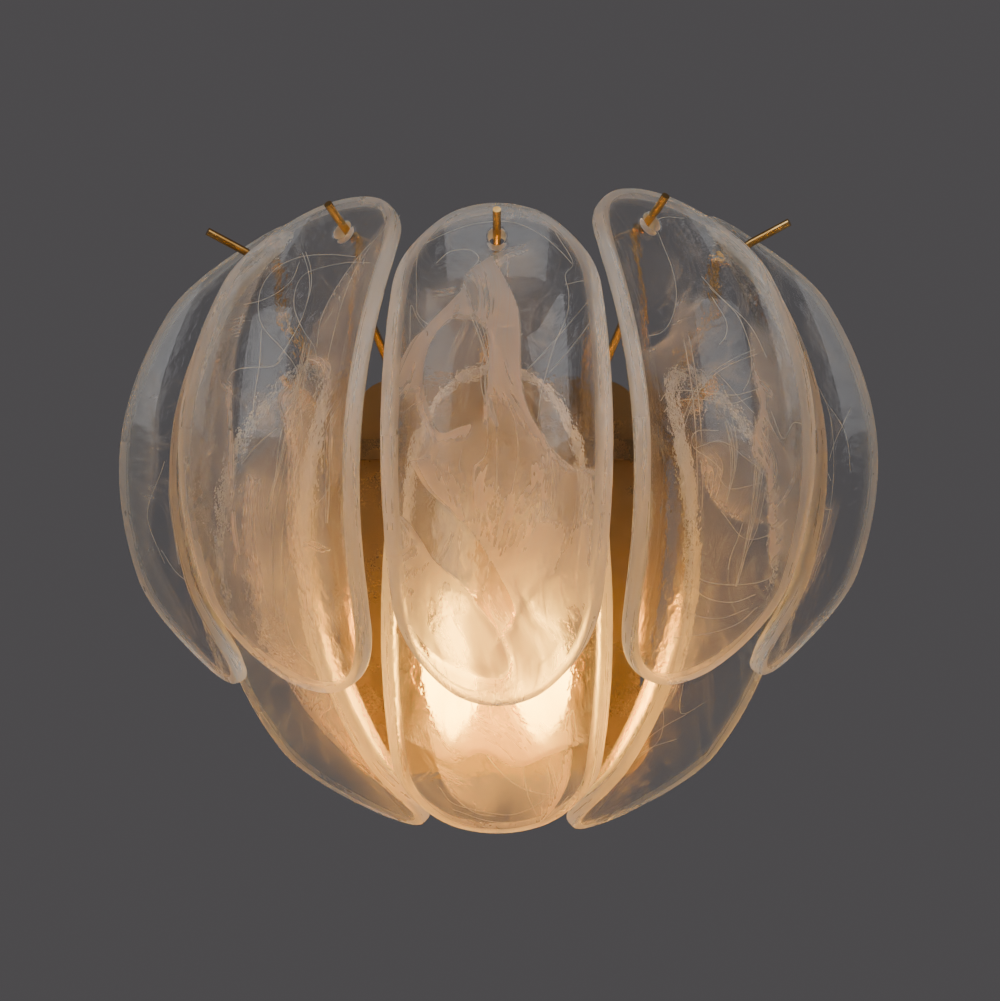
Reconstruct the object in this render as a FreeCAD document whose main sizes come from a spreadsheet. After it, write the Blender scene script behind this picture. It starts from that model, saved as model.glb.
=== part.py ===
"""Wall light with two rows of thick saddle-shaped glass petals on bent brass hooks.

Frame: origin at the middle of the wall face, +X to the right, +Z up. The wall is the plane Y = 0
and the light stands out from it towards -Y. The petals stand round the Z axis: an azimuth of 0
faces -Y, a positive azimuth turns towards +X. Lengths are in millimetres, angles in degrees.
"""
import FreeCAD, Part
import Sketcher
import math
import os

Vec = FreeCAD.Vector
Rotation = FreeCAD.Rotation
Placement = FreeCAD.Placement

X_AXIS = Vec(1, 0, 0)
Y_AXIS = Vec(0, 1, 0)
Z_AXIS = Vec(0, 0, 1)
OUTWARD = Rotation(X_AXIS, 90)      # turns +Z to -Y, away from the wall
FLAT = Rotation()

SIZES = {
    # gilt tray on the wall
    "plate_inset": 17.5,
    "plate_height": 200,
    "plate_depth": 22,
    "plate_sheet": 1.2,
    "plate_corner": 20,
    # slotted wall strap, its studs and the cap nuts
    "strap_width": 24,
    "strap_length": 170,
    "strap_sheet": 2.5,
    "slot_spacing": 100,
    "slot_width": 5,
    "slot_length": 12,
    "stud_radius": 2,
    "stud_spacing": 150,
    "stud_reach": 6,
    "cap_nut_radius": 4.5,
    "cap_nut_height": 8,
    # cable inlet and earth screw on the strap
    "inlet_height": -15,
    "inlet_radius": 4,
    "grommet_wall": 2,
    "grommet_flange": 1.5,
    "earth_height": -33,
    "screw_radius": 2,
    "screw_head_radius": 3.6,
    "screw_head": 2.4,
    "screw_grip": 5.2,
    "hole_clearance": 0.2,
    # half-round hanger band and its arms
    "band_radius": 90.5,
    "band_sheet": 2.5,
    "band_height": 10,
    "band_level": 64,
    "band_azimuth": 76,
    "spoke_sheet": 3,
    "spoke_azimuth": 62,
    "spoke_foot_place": 60,
    "foot_length": 18,
    "foot_sheet": 2,
    "foot_screw_offset": 5,
    # bent rod hooks
    "rod_radius": 2,
    "rod_bend": 3,
    "joggle_bend": 8,
    "hook_foot": 3,
    "hook_stand_reach": 23.5,
    "joggle_low": 106,
    "joggle_high": 132,
    "middle_hook_shift": 7,
    "elbow_drop": 28,
    "valley_run": 7,
    "hook_run": 15,
    "hook_tip": 9,
    "hook_tip_rise": 40,
    "side_hook_tip": 22,
    "side_hook_tip_rise": 26,
    "lower_hook_run": 13,
    "lower_hook_tip": 11,
    "lower_hook_tip_rise": 42,
    "hang_gap": 0.3,
    # glass petals: sizes of the back face
    "glass": 8,
    "middle_length": 234,
    "outer_length": 224,
    "lower_length": 230.6,
    "petal_bend": 201,
    "upper_width_share": 0.875,
    "lower_width_share": 1.0874,
    "upper_crown_share": 0.387,
    "lower_crown_share": 0.446,
    "crown_radius": 120,
    "curl_share": 0.835,
    "side_radius": 600,
    "hole_radius": 4.5,
    "middle_hole_inset": 22,
    "outer_hole_inset": 24,
    "lower_hole_inset": 18,
    # where the petals hang
    "upper_seat_reach": 33.5,
    "upper_seat_height": 167,
    "upper_lean": 6.8,
    "lower_seat_reach": 12.5,
    "lower_seat_height": 89,
    "lower_lean": -13,
    "inner_azimuth": 34.3,
    "outer_azimuth": 69,
    "lower_azimuth": 59.7,
    # lamp bracket
    "bracket_width": 84,
    "bracket_sheet": 2,
    "bracket_leg": 20,
    "bracket_level": 42,
    "bracket_margin": 12,
    "bracket_screw_place": 33,
    "lamp_spacing": 48,
    "lamp_stand": 55,
    # lampholders
    "holder_radius": 12.5,
    "holder_wall": 3,
    "holder_top": 38,
    "holder_roof": 4,
    "holder_floor": 22,
    "holder_floor_sheet": 4,
    "holder_mouth": -8,
    "shell_wall": 0.6,
    "shell_recess": 1,
    "contact_radius": 2.5,
    "contact_rise": 4,
    "contact_gap": 0.3,
    "nipple_radius": 5,
    "nipple_bore": 3.6,
    "nipple_top": 50,
    "nut_radius": 8,
    "nut_height": 3,
    # candle lamps
    "cap_radius": 7,
    "cap_clearance": 0.05,
    "cap_length": 21,
    "bulb_neck": -7,
    "bulb_length": 75,
    "bulb_radius": 17.5,
    "bulb_wall": 0.9,
    "filament_radius": 0.8,
    "filament_reach": 6,
    "filament_drop": 45,
    "stem_radius": 2.4,
    "stem_tip_radius": 1.8,
    "stem_length": 22.5,
    "leg_radius": 0.48,
    "leg_root": 1.1,
    # wiring
    "block_width": 30,
    "block_depth": 14,
    "block_height": 16,
    "block_level": 18,
    "terminal_pitch": 9,
    "lead_radius": 1.8,
    "lead_offset": 2.4,
    "lead_rise": 12,
    "lead_run": 12,
    "bush_level": 51.5,
    "bush_radius": 6,
    "bush_lip": 1.5,
}

# Hand-bent hooks carry the petals a little unevenly: how far each seat stands above the even row, and
# how far outside it.
UPPER_LIFTS = (-10, 1.5, -3.3, 5.4, -5.4)
UPPER_SPREADS = (-2.5, 0, 0, 0, -1)
LOWER_LIFTS = (2, 0, 0)
LOWER_SPREADS = (-2, 0, -0.5)

doc = FreeCAD.newDocument("shell_wall_sconce")
sheet = doc.addObject("Spreadsheet::Sheet", "sizes")


def fill_sheet():
    """Write every driving size into the sheet under its own alias."""
    for row, (alias, value) in enumerate(SIZES.items(), 1):
        sheet.set("A%d" % row, alias)
        sheet.set("B%d" % row, str(value))
        sheet.setAlias("B%d" % row, alias)
    doc.recompute()


fill_sheet()


def size(alias):
    """A driving size, read back from the sheet."""
    return float(sheet.get(alias))


# ---------------------------------------------------------------- helpers

pieces = []


def keep(name, shape_object):
    """Name an object as one finished piece of the light."""
    shape_object.Label = name
    pieces.append(shape_object)
    return shape_object


def bind(item, **formulas):
    """Bind properties to formulas of the sheet's cells."""
    for name, formula in formulas.items():
        item.setExpression(name.replace("_at_", "."), formula)
    return item


def put(item, turn, x, y, z):
    """Turn an object and bind its place to three formulas."""
    item.Placement = Placement(Vec(), turn)
    return bind(item, Placement_at_Base_at_x=x, Placement_at_Base_at_y=y, Placement_at_Base_at_z=z)


def box(name, lengths, corner, turn=FLAT):
    """A block given by its three lengths and its low corner, all as formulas."""
    item = doc.addObject("Part::Box", name)
    bind(item, Length=lengths[0], Width=lengths[1], Height=lengths[2])
    return put(item, turn, *corner)


def rod(name, radius, height, base, turn=FLAT):
    """A cylinder given by its radius, height and base, all as formulas."""
    item = doc.addObject("Part::Cylinder", name)
    bind(item, Radius=radius, Height=height)
    return put(item, turn, *base)


def cut(name, base, tools):
    """The base without the tools."""
    item = doc.addObject("Part::Cut", name)
    item.Base = base
    item.Tool = tools[0] if len(tools) == 1 else fuse(name + "_cutters", tools)
    return item


def fuse(name, parts):
    """Several shapes made one."""
    item = doc.addObject("Part::MultiFuse", name)
    item.Shapes = parts
    return item


def common(name, base, tool):
    """What two shapes share."""
    item = doc.addObject("Part::Common", name)
    item.Base = base
    item.Tool = tool
    return item


def group(name, parts):
    """Alike solids that share one node."""
    item = doc.addObject("Part::Compound", name)
    item.Links = parts
    return item


def sketch(name, geometry, turn=FLAT):
    """A sketch with its drawing in place."""
    item = doc.addObject("Sketcher::SketchObject", name)
    item.Placement = Placement(Vec(), turn)
    item.addGeometry(geometry, False)
    return item


def turned(name, outline):
    """A closed outline of (radius, height) points turned about the Z axis."""
    edges = []
    for start, end in zip(outline, outline[1:] + outline[:1]):
        edges.append(Part.LineSegment(Vec(*start), Vec(*end)))
    item = doc.addObject("Part::Revolution", name)
    item.Source = sketch(name + "_outline", edges, OUTWARD)
    item.Axis = Z_AXIS
    item.Solid = True
    return item


def rounded_path(points, bends):
    """A wire through the points, with an arc of the given radius at each inner point."""
    edges = []
    here = points[0]
    for before, corner, after, radius in zip(points, points[1:], points[2:], bends):
        back = (before - corner).normalize()
        onward = (after - corner).normalize()
        half = (math.pi - back.getAngle(onward)) / 2
        trim = radius * math.tan(half)
        start = corner + back * trim
        end = corner + onward * trim
        to_middle = (back + onward).normalize()
        middle = corner + to_middle * (radius / math.cos(half) - radius)
        edges.append(Part.LineSegment(here, start).toShape())
        edges.append(Part.Arc(start, middle, end).toShape())
        here = end
    edges.append(Part.LineSegment(here, points[-1]).toShape())
    return Part.Wire(edges)


def bent_rod(name, points, bends, radius):
    """A round rod or lead along a bent path that starts upwards."""
    spine = doc.addObject("Part::Feature", name + "_path")
    spine.Shape = rounded_path(points, bends)
    section = doc.addObject("Part::Circle", name + "_section")
    bind(section, Radius=radius)
    section.Placement = Placement(points[0], FLAT)
    item = doc.addObject("Part::Sweep", name)
    item.Sections = [section]
    item.Spine = (spine, [])
    item.Solid = True
    return item


# ---------------------------------------------------------------- wall strap, studs and cable inlet

def rectangle_pad(body, name, width, height, depth):
    """A centred rectangle on the body's XZ plane, padded away from the wall."""
    outline = body.newObject("Sketcher::SketchObject", name + "_outline")
    plane = [f for f in body.Origin.OriginFeatures if f.Role == "XZ_Plane"][0]
    outline.AttachmentSupport = (plane, "")
    outline.MapMode = "FlatFace"
    rough_width, rough_height = 20.0, 40.0      # only a start: the two dimensions below set the real ones
    x, z = rough_width / 2, rough_height / 2
    corners = [Vec(-x, -z, 0), Vec(x, -z, 0), Vec(x, z, 0), Vec(-x, z, 0)]
    for start, end in zip(corners, corners[1:] + corners[:1]):
        outline.addGeometry(Part.LineSegment(start, end), False)
    for line in range(4):
        outline.addConstraint(Sketcher.Constraint("Coincident", line, 2, (line + 1) % 4, 1))
        outline.addConstraint(Sketcher.Constraint(("Horizontal", "Vertical")[line % 2], line))
    outline.addConstraint(Sketcher.Constraint("Symmetric", 0, 1, 2, 1, -1, 1))
    across = outline.addConstraint(Sketcher.Constraint("DistanceX", 0, 1, 0, 2, rough_width))
    upright = outline.addConstraint(Sketcher.Constraint("DistanceY", 1, 1, 1, 2, rough_height))
    outline.setExpression("Constraints[%d]" % across, width)
    outline.setExpression("Constraints[%d]" % upright, height)
    pad = body.newObject("PartDesign::Pad", name)
    pad.Profile = outline
    bind(pad, Length=depth)
    pad.Reversed = False
    doc.recompute()
    return pad


def make_wall_strap():
    """Steel strap against the wall, with two wall slots, two stud holes, an inlet and an earth hole."""
    body = doc.addObject("PartDesign::Body", "strap_body")
    rectangle_pad(body, "strap_pad", "sizes.strap_width", "sizes.strap_length", "sizes.strap_sheet")
    cutters = []
    for side, sign in (("low", "-"), ("high", "")):
        middle = sign + "sizes.slot_spacing / 2"
        straight = "(sizes.slot_length - sizes.slot_width)"
        cutters.append(box("slot_" + side, ("sizes.slot_width", "sizes.strap_sheet", straight),
                           ("-sizes.slot_width / 2", "-sizes.strap_sheet", middle + " - " + straight + " / 2")))
        for end, way in (("a", "-"), ("b", "+")):
            cutters.append(rod("slot_%s_%s" % (side, end), "sizes.slot_width / 2", "sizes.strap_sheet",
                               ("0", "0", "%s %s %s / 2" % (middle, way, straight)), OUTWARD))
        cutters.append(rod("strap_stud_hole_" + side, "sizes.stud_radius", "sizes.strap_sheet",
                           ("0", "0", sign + "sizes.stud_spacing / 2"), OUTWARD))
    cutters.append(rod("inlet_hole", "sizes.inlet_radius + sizes.grommet_wall", "sizes.strap_sheet",
                       ("0", "0", "sizes.inlet_height"), OUTWARD))
    cutters.append(rod("earth_hole", "sizes.screw_radius", "sizes.strap_sheet",
                       ("0", "0", "sizes.earth_height"), OUTWARD))
    keep("wall_strap", cut("strap", body, cutters))


def make_tray_fixings():
    """Two studs that stand out of the strap through the tray, and their domed cap nuts."""
    studs = []
    nuts = []
    for side, sign in (("low", "-"), ("high", "")):
        level = sign + "sizes.stud_spacing / 2"
        studs.append(rod("stud_" + side, "sizes.stud_radius", "sizes.plate_depth + sizes.stud_reach",
                         ("0", "0", level), OUTWARD))
        skirt = rod("nut_skirt_" + side, "sizes.cap_nut_radius",
                    "sizes.cap_nut_height - sizes.cap_nut_radius / 2", ("0", "-sizes.plate_depth", level), OUTWARD)
        dome = doc.addObject("Part::Ellipsoid", "nut_dome_" + side)
        bind(dome, Radius1="sizes.cap_nut_radius / 2", Radius2="sizes.cap_nut_radius",
             Radius3="sizes.cap_nut_radius")
        put(dome, OUTWARD, "0", "-(sizes.plate_depth + sizes.cap_nut_height - sizes.cap_nut_radius / 2)",
            level)
        bore = rod("nut_bore_" + side, "sizes.stud_radius", "sizes.stud_reach",
                   ("0", "-sizes.plate_depth", level), OUTWARD)
        nuts.append(cut("cap_nut_" + side, fuse("nut_blank_" + side, [skirt, dome]), [bore]))
    keep("tray_studs", group("studs", studs))
    keep("tray_cap_nuts", group("cap_nuts", nuts))


def make_strap_fittings():
    """Rubber cable inlet, earth screw and three-way terminal block on the strap."""
    flange_front = "(sizes.strap_sheet + sizes.grommet_flange)"
    neck = rod("grommet_neck", "sizes.inlet_radius + sizes.grommet_wall", "sizes.strap_sheet",
               ("0", "0", "sizes.inlet_height"), OUTWARD)
    flange = rod("grommet_lip", "sizes.inlet_radius + 2 * sizes.grommet_wall", "sizes.grommet_flange",
                 ("0", "-sizes.strap_sheet", "sizes.inlet_height"), OUTWARD)
    bore = rod("grommet_bore", "sizes.inlet_radius", flange_front, ("0", "0", "sizes.inlet_height"), OUTWARD)
    keep("cable_grommet", cut("grommet", fuse("grommet_blank", [neck, flange]), [bore]))
    shank = rod("earth_shank", "sizes.screw_radius", "sizes.strap_sheet",
                ("0", "0", "sizes.earth_height"), OUTWARD)
    head = rod("earth_head", "sizes.screw_head_radius", "sizes.screw_head",
               ("0", "-sizes.strap_sheet", "sizes.earth_height"), OUTWARD)
    keep("earth_screw", fuse("earth", [shank, head]))
    block = box("block_blank", ("sizes.block_width", "sizes.block_depth", "sizes.block_height"),
                ("-sizes.block_width / 2", "-sizes.strap_sheet - sizes.block_depth", "sizes.block_level"))
    bores = []
    screws = []
    screw_depth = "(sizes.block_depth / 2)"
    for place, factor in (("left", "-1"), ("middle", "0"), ("right", "1")):
        across = factor + " * sizes.terminal_pitch"
        bores.append(rod("terminal_way_" + place, "sizes.lead_radius", "sizes.block_height",
                         (across, "-sizes.strap_sheet - " + screw_depth, "sizes.block_level")))
        seat = (across, "-sizes.strap_sheet - " + screw_depth + " - sizes.lead_radius",
                "sizes.block_level + sizes.block_height / 2")
        length = screw_depth + " - sizes.lead_radius"
        bores.append(rod("terminal_tap_" + place, "sizes.screw_radius", length, seat, OUTWARD))
        screws.append(rod("terminal_screw_" + place, "sizes.screw_radius", length, seat, OUTWARD))
    keep("terminal_block", cut("block", block, bores))
    keep("terminal_screws", group("block_screws", screws))


# ---------------------------------------------------------------- back plate

def make_back_plate():
    """Shallow gilt tray, open to the wall, with rounded corners and its fixing holes."""
    body = doc.addObject("PartDesign::Body", "plate_body")
    pad = rectangle_pad(body, "plate_pad", "2 * (sizes.band_radius - sizes.plate_inset)", "sizes.plate_height",
                        "sizes.plate_depth")
    edges = []
    for number, edge in enumerate(pad.Shape.Edges, 1):
        run = edge.Vertexes[1].Point - edge.Vertexes[0].Point
        if abs(run.y) > abs(run.x) + abs(run.z):
            edges.append("Edge%d" % number)
    corners = body.newObject("PartDesign::Fillet", "plate_corners")
    corners.Base = (pad, edges)
    bind(corners, Radius="sizes.plate_corner")
    doc.recompute()
    back = [n for n, f in enumerate(corners.Shape.Faces, 1) if abs(f.CenterOfMass.y) < 1e-6]
    shell = body.newObject("PartDesign::Thickness", "plate_shell")
    shell.Base = (corners, ["Face%d" % back[0]])
    bind(shell, Value="sizes.plate_sheet")
    shell.Reversed = True
    shell.Mode = 0
    shell.Join = 1
    doc.recompute()
    front = "-(sizes.plate_depth - sizes.plate_sheet)"
    holes = []
    for side, sign in (("low", "-"), ("high", "")):
        holes.append(rod("plate_stud_hole_" + side, "sizes.stud_radius + sizes.hole_clearance",
                         "sizes.plate_sheet", ("0", front, sign + "sizes.stud_spacing / 2"), OUTWARD))
    holes.append(rod("bush_hole", "sizes.bush_radius", "sizes.plate_sheet", ("0", front, "sizes.bush_level"),
                     OUTWARD))
    for name, place, level in screw_places():
        holes.append(rod("plate_hole_" + name, "sizes.screw_radius", "sizes.plate_sheet", (place, front, level),
                         OUTWARD))
    keep("back_plate", cut("plate", body, holes))


def screw_places():
    """Name, place across and level of each screw in the back plate's front."""
    bracket_level = "sizes.bracket_level - sizes.bracket_leg / 2"
    return (("spoke_left", "-sizes.spoke_foot_place + sizes.foot_screw_offset", "sizes.band_level"),
            ("spoke_middle", "sizes.foot_screw_offset + sizes.spoke_sheet", "sizes.band_level"),
            ("spoke_right", "sizes.spoke_foot_place - sizes.foot_screw_offset", "sizes.band_level"),
            ("bracket_left", "-sizes.bracket_screw_place", bracket_level),
            ("bracket_right", "sizes.bracket_screw_place", bracket_level))


def make_plate_screws():
    """Pan-head screws through the spokes' feet and through the lamp bracket's leg."""
    screws = {"spoke": [], "bracket": []}
    sheets = {"spoke": "sizes.foot_sheet", "bracket": "sizes.bracket_sheet"}
    for name, place, level in screw_places():
        kind = name.split("_")[0]
        seat = "-(sizes.plate_depth + %s)" % sheets[kind]
        shank = rod("shank_" + name, "sizes.screw_radius", "sizes.screw_grip",
                    (place, seat + " + sizes.screw_grip", level), OUTWARD)
        head = rod("head_" + name, "sizes.screw_head_radius", "sizes.screw_head", (place, seat, level), OUTWARD)
        screws[kind].append(fuse("screw_" + name, [shank, head]))
    keep("spoke_screws", group("spoke_screw_set", screws["spoke"]))
    keep("bracket_screws", group("bracket_screw_set", screws["bracket"]))


# ---------------------------------------------------------------- hanger band and spokes

def make_band():
    """Half-round flat strip, centred on the front."""
    rings = []
    for name, grow in (("band_outside", "sizes.band_radius + sizes.band_sheet"),
                       ("band_inside", "sizes.band_radius")):
        ring = rod(name, grow, "sizes.band_height", ("0", "0", "sizes.band_level - sizes.band_height / 2"))
        if name == "band_outside":
            bind(ring, Angle="2 * sizes.band_azimuth")
            ring.Placement.Rotation = Rotation(Z_AXIS, -90 - size("band_azimuth"))
        rings.append(ring)
    keep("hanger_band", cut("band", rings[0], [rings[1]]))


ARM_OVERRUN = 1.2       # an arm's length over the band's radius, before the band's inside trims it


def make_spokes():
    """Flat arms on edge from feet on the back plate to the band's inner face."""
    low = "sizes.band_level - sizes.band_height / 2"
    reach = Vec(size("band_radius") * math.sin(math.radians(size("spoke_azimuth"))),
                -size("band_radius") * math.cos(math.radians(size("spoke_azimuth"))), 0)
    start = Vec(size("spoke_foot_place"), -size("plate_depth"), 0)
    side_turn = math.degrees(math.atan2(reach.y - start.y, reach.x - start.x))
    holes = dict((name, (place, level)) for name, place, level in screw_places())
    for side, sign, turn in (("left", -1, 180 - side_turn), ("middle", 0, -90), ("right", 1, side_turn)):
        name = "spoke_" + side
        arm = doc.addObject("Part::Box", name + "_arm")
        bind(arm, Length="%g * sizes.band_radius" % ARM_OVERRUN, Width="sizes.spoke_sheet",
             Height="sizes.band_height")
        way = Rotation(Z_AXIS, turn)
        foot_middle = Vec(sign * size("spoke_foot_place"), -size("plate_depth"), 0)
        shift = way.multVec(Vec(0, -size("spoke_sheet") / 2, 0))
        arm.Placement = Placement(foot_middle + shift, way)
        bind(arm, Placement_at_Base_at_z=low)
        inside = rod(name + "_inside", "sizes.band_radius", "sizes.band_height", ("0", "0", low))
        front = box(name + "_front", ("4 * sizes.band_radius", "2 * sizes.band_radius", "sizes.band_height"),
                    ("-2 * sizes.band_radius", "-sizes.plate_depth - 2 * sizes.band_radius", low))
        trimmed = common(name + "_trim", common(name + "_round", arm, inside), front)
        inner_end = {-1: "-sizes.spoke_foot_place - sizes.spoke_sheet",
                     0: "-sizes.spoke_sheet / 2",
                     1: "sizes.spoke_foot_place + sizes.spoke_sheet - sizes.foot_length"}[sign]
        foot = box(name + "_foot", ("sizes.foot_length", "sizes.foot_sheet", "sizes.band_height"),
                   (inner_end, "-sizes.plate_depth - sizes.foot_sheet", low))
        place, level = holes[name]
        hole = rod(name + "_hole", "sizes.screw_radius", "sizes.foot_sheet",
                   (place, "-sizes.plate_depth", level), OUTWARD)
        keep(name, cut(name + "_piece", fuse(name + "_blank", [trimmed, foot]), [hole]))


# ---------------------------------------------------------------- petals

class Petal:
    """Where one petal hangs, worked out from the driving sizes."""

    def __init__(self, row, number, azimuth, lift, spread):
        self.row = row
        self.name = "petal_%s_%d" % (row, number)
        self.hook = "hook_%s_%d" % (row, number)
        self.azimuth = azimuth
        even_radius = size("band_radius") + size(row + "_seat_reach")
        self.seat_radius = even_radius + spread
        self.half_width = even_radius * size(row + "_width_share") / 2
        self.half_crown = self.half_width * size(row + "_crown_share")
        self.lean = size(row + "_lean")
        self.seat_height = size(row + "_seat_height") + lift
        self.place = "lower"
        if row == "upper":
            self.place = "outer" if abs(azimuth) == size("outer_azimuth") else "middle"
        bend = size("petal_bend")
        self.half_length = size(self.place + "_length") / 2
        self.top_angle = math.asin(self.half_length / bend)
        self.hole_angle = self.top_angle - size(self.place + "_hole_inset") / bend
        self.rise = math.degrees(self.hole_angle) + self.lean

    def around(self):
        """The turn about the Z axis that brings the front plane to this petal's azimuth."""
        return Placement(Vec(), Rotation(Z_AXIS, self.azimuth))

    def placement(self):
        """From the petal's own frame, on its bend axis, to the light's frame."""
        bend, hole = size("petal_bend"), size("hole_radius")
        seat = Vec(0, -bend * math.cos(self.hole_angle) + hole * math.sin(self.hole_angle),
                   bend * math.sin(self.hole_angle) + hole * math.cos(self.hole_angle))
        tilt = Rotation(X_AXIS, -self.lean)
        target = Vec(0, -self.seat_radius, self.seat_height)
        return self.around() * Placement(target - tilt.multVec(seat), tilt)


def petals():
    """All petals, the upper row first, from left to right."""
    inner, outer, lower = size("inner_azimuth"), size("outer_azimuth"), size("lower_azimuth")
    upper_azimuths = (-outer, -inner, 0, inner, outer)
    lower_azimuths = (-lower, 0, lower)
    made = []
    for number, unevenness in enumerate(zip(upper_azimuths, UPPER_LIFTS, UPPER_SPREADS), 1):
        made.append(Petal("upper", number, *unevenness))
    for number, unevenness in enumerate(zip(lower_azimuths, LOWER_LIFTS, LOWER_SPREADS), 1):
        made.append(Petal("lower", number, *unevenness))
    return made


def arc(middle, radius, start, end):
    """An arc about a middle point, between two angles in radians."""
    return Part.ArcOfCircle(Part.Circle(middle, Z_AXIS, radius), start, end)


PROFILE_OVERRUN = 1.046     # the bent sheet's half width over the petal's, before the oval trims it
TURN_OVERRUN = 6            # how many degrees the bent sheet runs past each end of the petal


def petal_profile(name, half_width, half_crown):
    """The back face across the petal: a flat crown with both sides curling outwards."""
    bend, crown = size("petal_bend"), size("crown_radius")
    curl = half_width * size("curl_share")
    start = math.asin(half_crown / crown)
    end = math.asin((PROFILE_OVERRUN * half_width - half_crown) / curl + math.sin(start))
    side = (crown - curl) * math.sin(start)
    middle = -bend - crown + (crown - curl) * math.cos(start)
    up = math.pi / 2
    return sketch(name, [arc(Vec(0, -bend - crown, 0), crown, up - start, up + start),
                         arc(Vec(side, middle, 0), curl, up - end, up - start),
                         arc(Vec(-side, middle, 0), curl, up + start, up + end)])


def petal_oval(name, half_width, half_length):
    """The petal's outline from the front: four arcs, the long sides nearly straight."""
    side = size("side_radius")
    inset = side - half_width
    end = (side ** 2 - inset ** 2 - half_length ** 2) / (2 * side - 2 * half_length)
    rise = half_length - end
    join = math.atan2(rise, inset)
    return sketch(name, [arc(Vec(-inset, 0, 0), side, -join, join),
                         arc(Vec(0, rise, 0), end, join, math.pi - join),
                         arc(Vec(inset, 0, 0), side, math.pi - join, math.pi + join),
                         arc(Vec(0, -rise, 0), end, math.pi + join, 2 * math.pi - join)], OUTWARD)


def make_petal(petal):
    """A saddle of thick glass: curled across, bent lengthwise, oval, with a hook hole near its top."""
    name = petal.name
    back = doc.addObject("Part::Revolution", name + "_sheet")
    back.Source = petal_profile(name + "_profile", petal.half_width, petal.half_crown)
    back.Axis = X_AXIS
    back.Solid = False
    back.Symmetric = True
    back.Angle = 2 * (math.degrees(petal.top_angle) + TURN_OVERRUN)
    oval = doc.addObject("Part::Extrusion", name + "_cutter")
    oval.Base = petal_oval(name + "_oval", petal.half_width, petal.half_length)
    oval.DirMode = "Normal"
    oval.Solid = True
    bind(oval, LengthFwd="2 * sizes.petal_bend")
    skin = common(name + "_skin", back, oval)
    slab = doc.addObject("Part::Offset", name + "_slab")
    slab.Source = skin
    slab.Fill = True
    slab.Join = 0
    bind(slab, Value="-sizes.glass")
    hole = doc.addObject("Part::Cylinder", name + "_hole")
    bind(hole, Radius="sizes.hole_radius", Height="4 * sizes.glass")
    way = Rotation(X_AXIS, 90 - math.degrees(petal.hole_angle))
    hole.Placement = Placement(way.multVec(Vec(0, 0, size("petal_bend") - 2 * size("glass"))), way)
    piece = cut(name + "_piece", slab, [hole])
    piece.Placement = petal.placement()
    keep(name, piece)


# ---------------------------------------------------------------- hooks

def in_front(side, radius, level):
    """A point in the front plane: sideways shift, distance from the Z axis, level."""
    return Vec(side, -radius, level)


def make_hook(petal):
    """A bent rod: foot on the band, stand, elbow and valley, then out through the petal's hole."""
    reach = size("rod_radius") + size("hang_gap")
    rise = math.radians(petal.rise)
    seat_r = petal.seat_radius + reach * math.sin(rise)
    seat_z = petal.seat_height - reach * math.cos(rise)
    foot_r = size("band_radius") + size("band_sheet") + size("rod_radius")
    foot_z = size("band_level") - size("band_height") / 2 - size("hook_foot")
    bend = size("rod_bend")
    if petal.row == "upper":
        shift = -size("middle_hook_shift") if petal.azimuth == 0 else 0
        stand = size("band_radius") + size("hook_stand_reach")
        valley_r = stand + size("valley_run")
        valley_z = seat_z - (seat_r - valley_r) * math.tan(rise)
        elbow_z = valley_z + size("valley_run") * math.tan(math.radians(size("elbow_drop")))
        points = [in_front(shift, foot_r, foot_z),
                  in_front(shift, foot_r, size("joggle_low")),
                  in_front(0, stand, size("joggle_high")),
                  in_front(0, stand, elbow_z),
                  in_front(0, valley_r, valley_z)]
        bends = [size("joggle_bend"), size("joggle_bend"), bend, bend, bend]
        side = "side_" if petal.place == "outer" else ""
        run, tip, tip_rise = size("hook_run"), size(side + "hook_tip"), size(side + "hook_tip_rise")
    else:
        points = [in_front(0, foot_r, foot_z),
                  in_front(0, foot_r, seat_z - (seat_r - foot_r) * math.tan(rise))]
        bends = [bend, bend]
        run, tip, tip_rise = size("lower_hook_run"), size("lower_hook_tip"), size("lower_hook_tip_rise")
    end_r = seat_r + run * math.cos(rise)
    end_z = seat_z + run * math.sin(rise)
    points.append(in_front(0, end_r, end_z))
    points.append(in_front(0, end_r + tip * math.cos(math.radians(tip_rise)),
                           end_z + tip * math.sin(math.radians(tip_rise))))
    hook = bent_rod(petal.hook + "_rod", points, bends, "sizes.rod_radius")
    hook.Placement = petal.around()
    keep(petal.hook, hook)


# ---------------------------------------------------------------- lamp bracket, holders and lamps

LAMPS = (("left", "-1"), ("right", "1"))


def lamp_place(factor):
    """Formulas for a lamp's place across and its distance from the wall."""
    return factor + " * sizes.lamp_spacing / 2", "-sizes.lamp_stand"


def make_lamp_bracket():
    """Angled steel strip: a leg on the back plate and a shelf with two nipple holes."""
    shelf = box("bracket_shelf",
                ("sizes.bracket_width", "sizes.lamp_stand + sizes.bracket_margin - sizes.plate_depth",
                 "sizes.bracket_sheet"),
                ("-sizes.bracket_width / 2", "-sizes.lamp_stand - sizes.bracket_margin", "sizes.bracket_level"))
    leg = box("bracket_leg", ("sizes.bracket_width", "sizes.bracket_sheet", "sizes.bracket_leg"),
              ("-sizes.bracket_width / 2", "-sizes.plate_depth - sizes.bracket_sheet",
               "sizes.bracket_level + sizes.bracket_sheet - sizes.bracket_leg"))
    holes = []
    for side, factor in LAMPS:
        x, y = lamp_place(factor)
        holes.append(rod("bracket_hole_" + side, "sizes.nipple_radius", "sizes.bracket_sheet",
                         (x, y, "sizes.bracket_level")))
    for name, place, level in screw_places():
        if name.startswith("bracket"):
            holes.append(rod("leg_hole_" + name, "sizes.screw_radius", "sizes.bracket_sheet",
                             (place, "-sizes.plate_depth", level), OUTWARD))
    keep("lamp_bracket", cut("bracket", fuse("bracket_blank", [shelf, leg]), holes))


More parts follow.
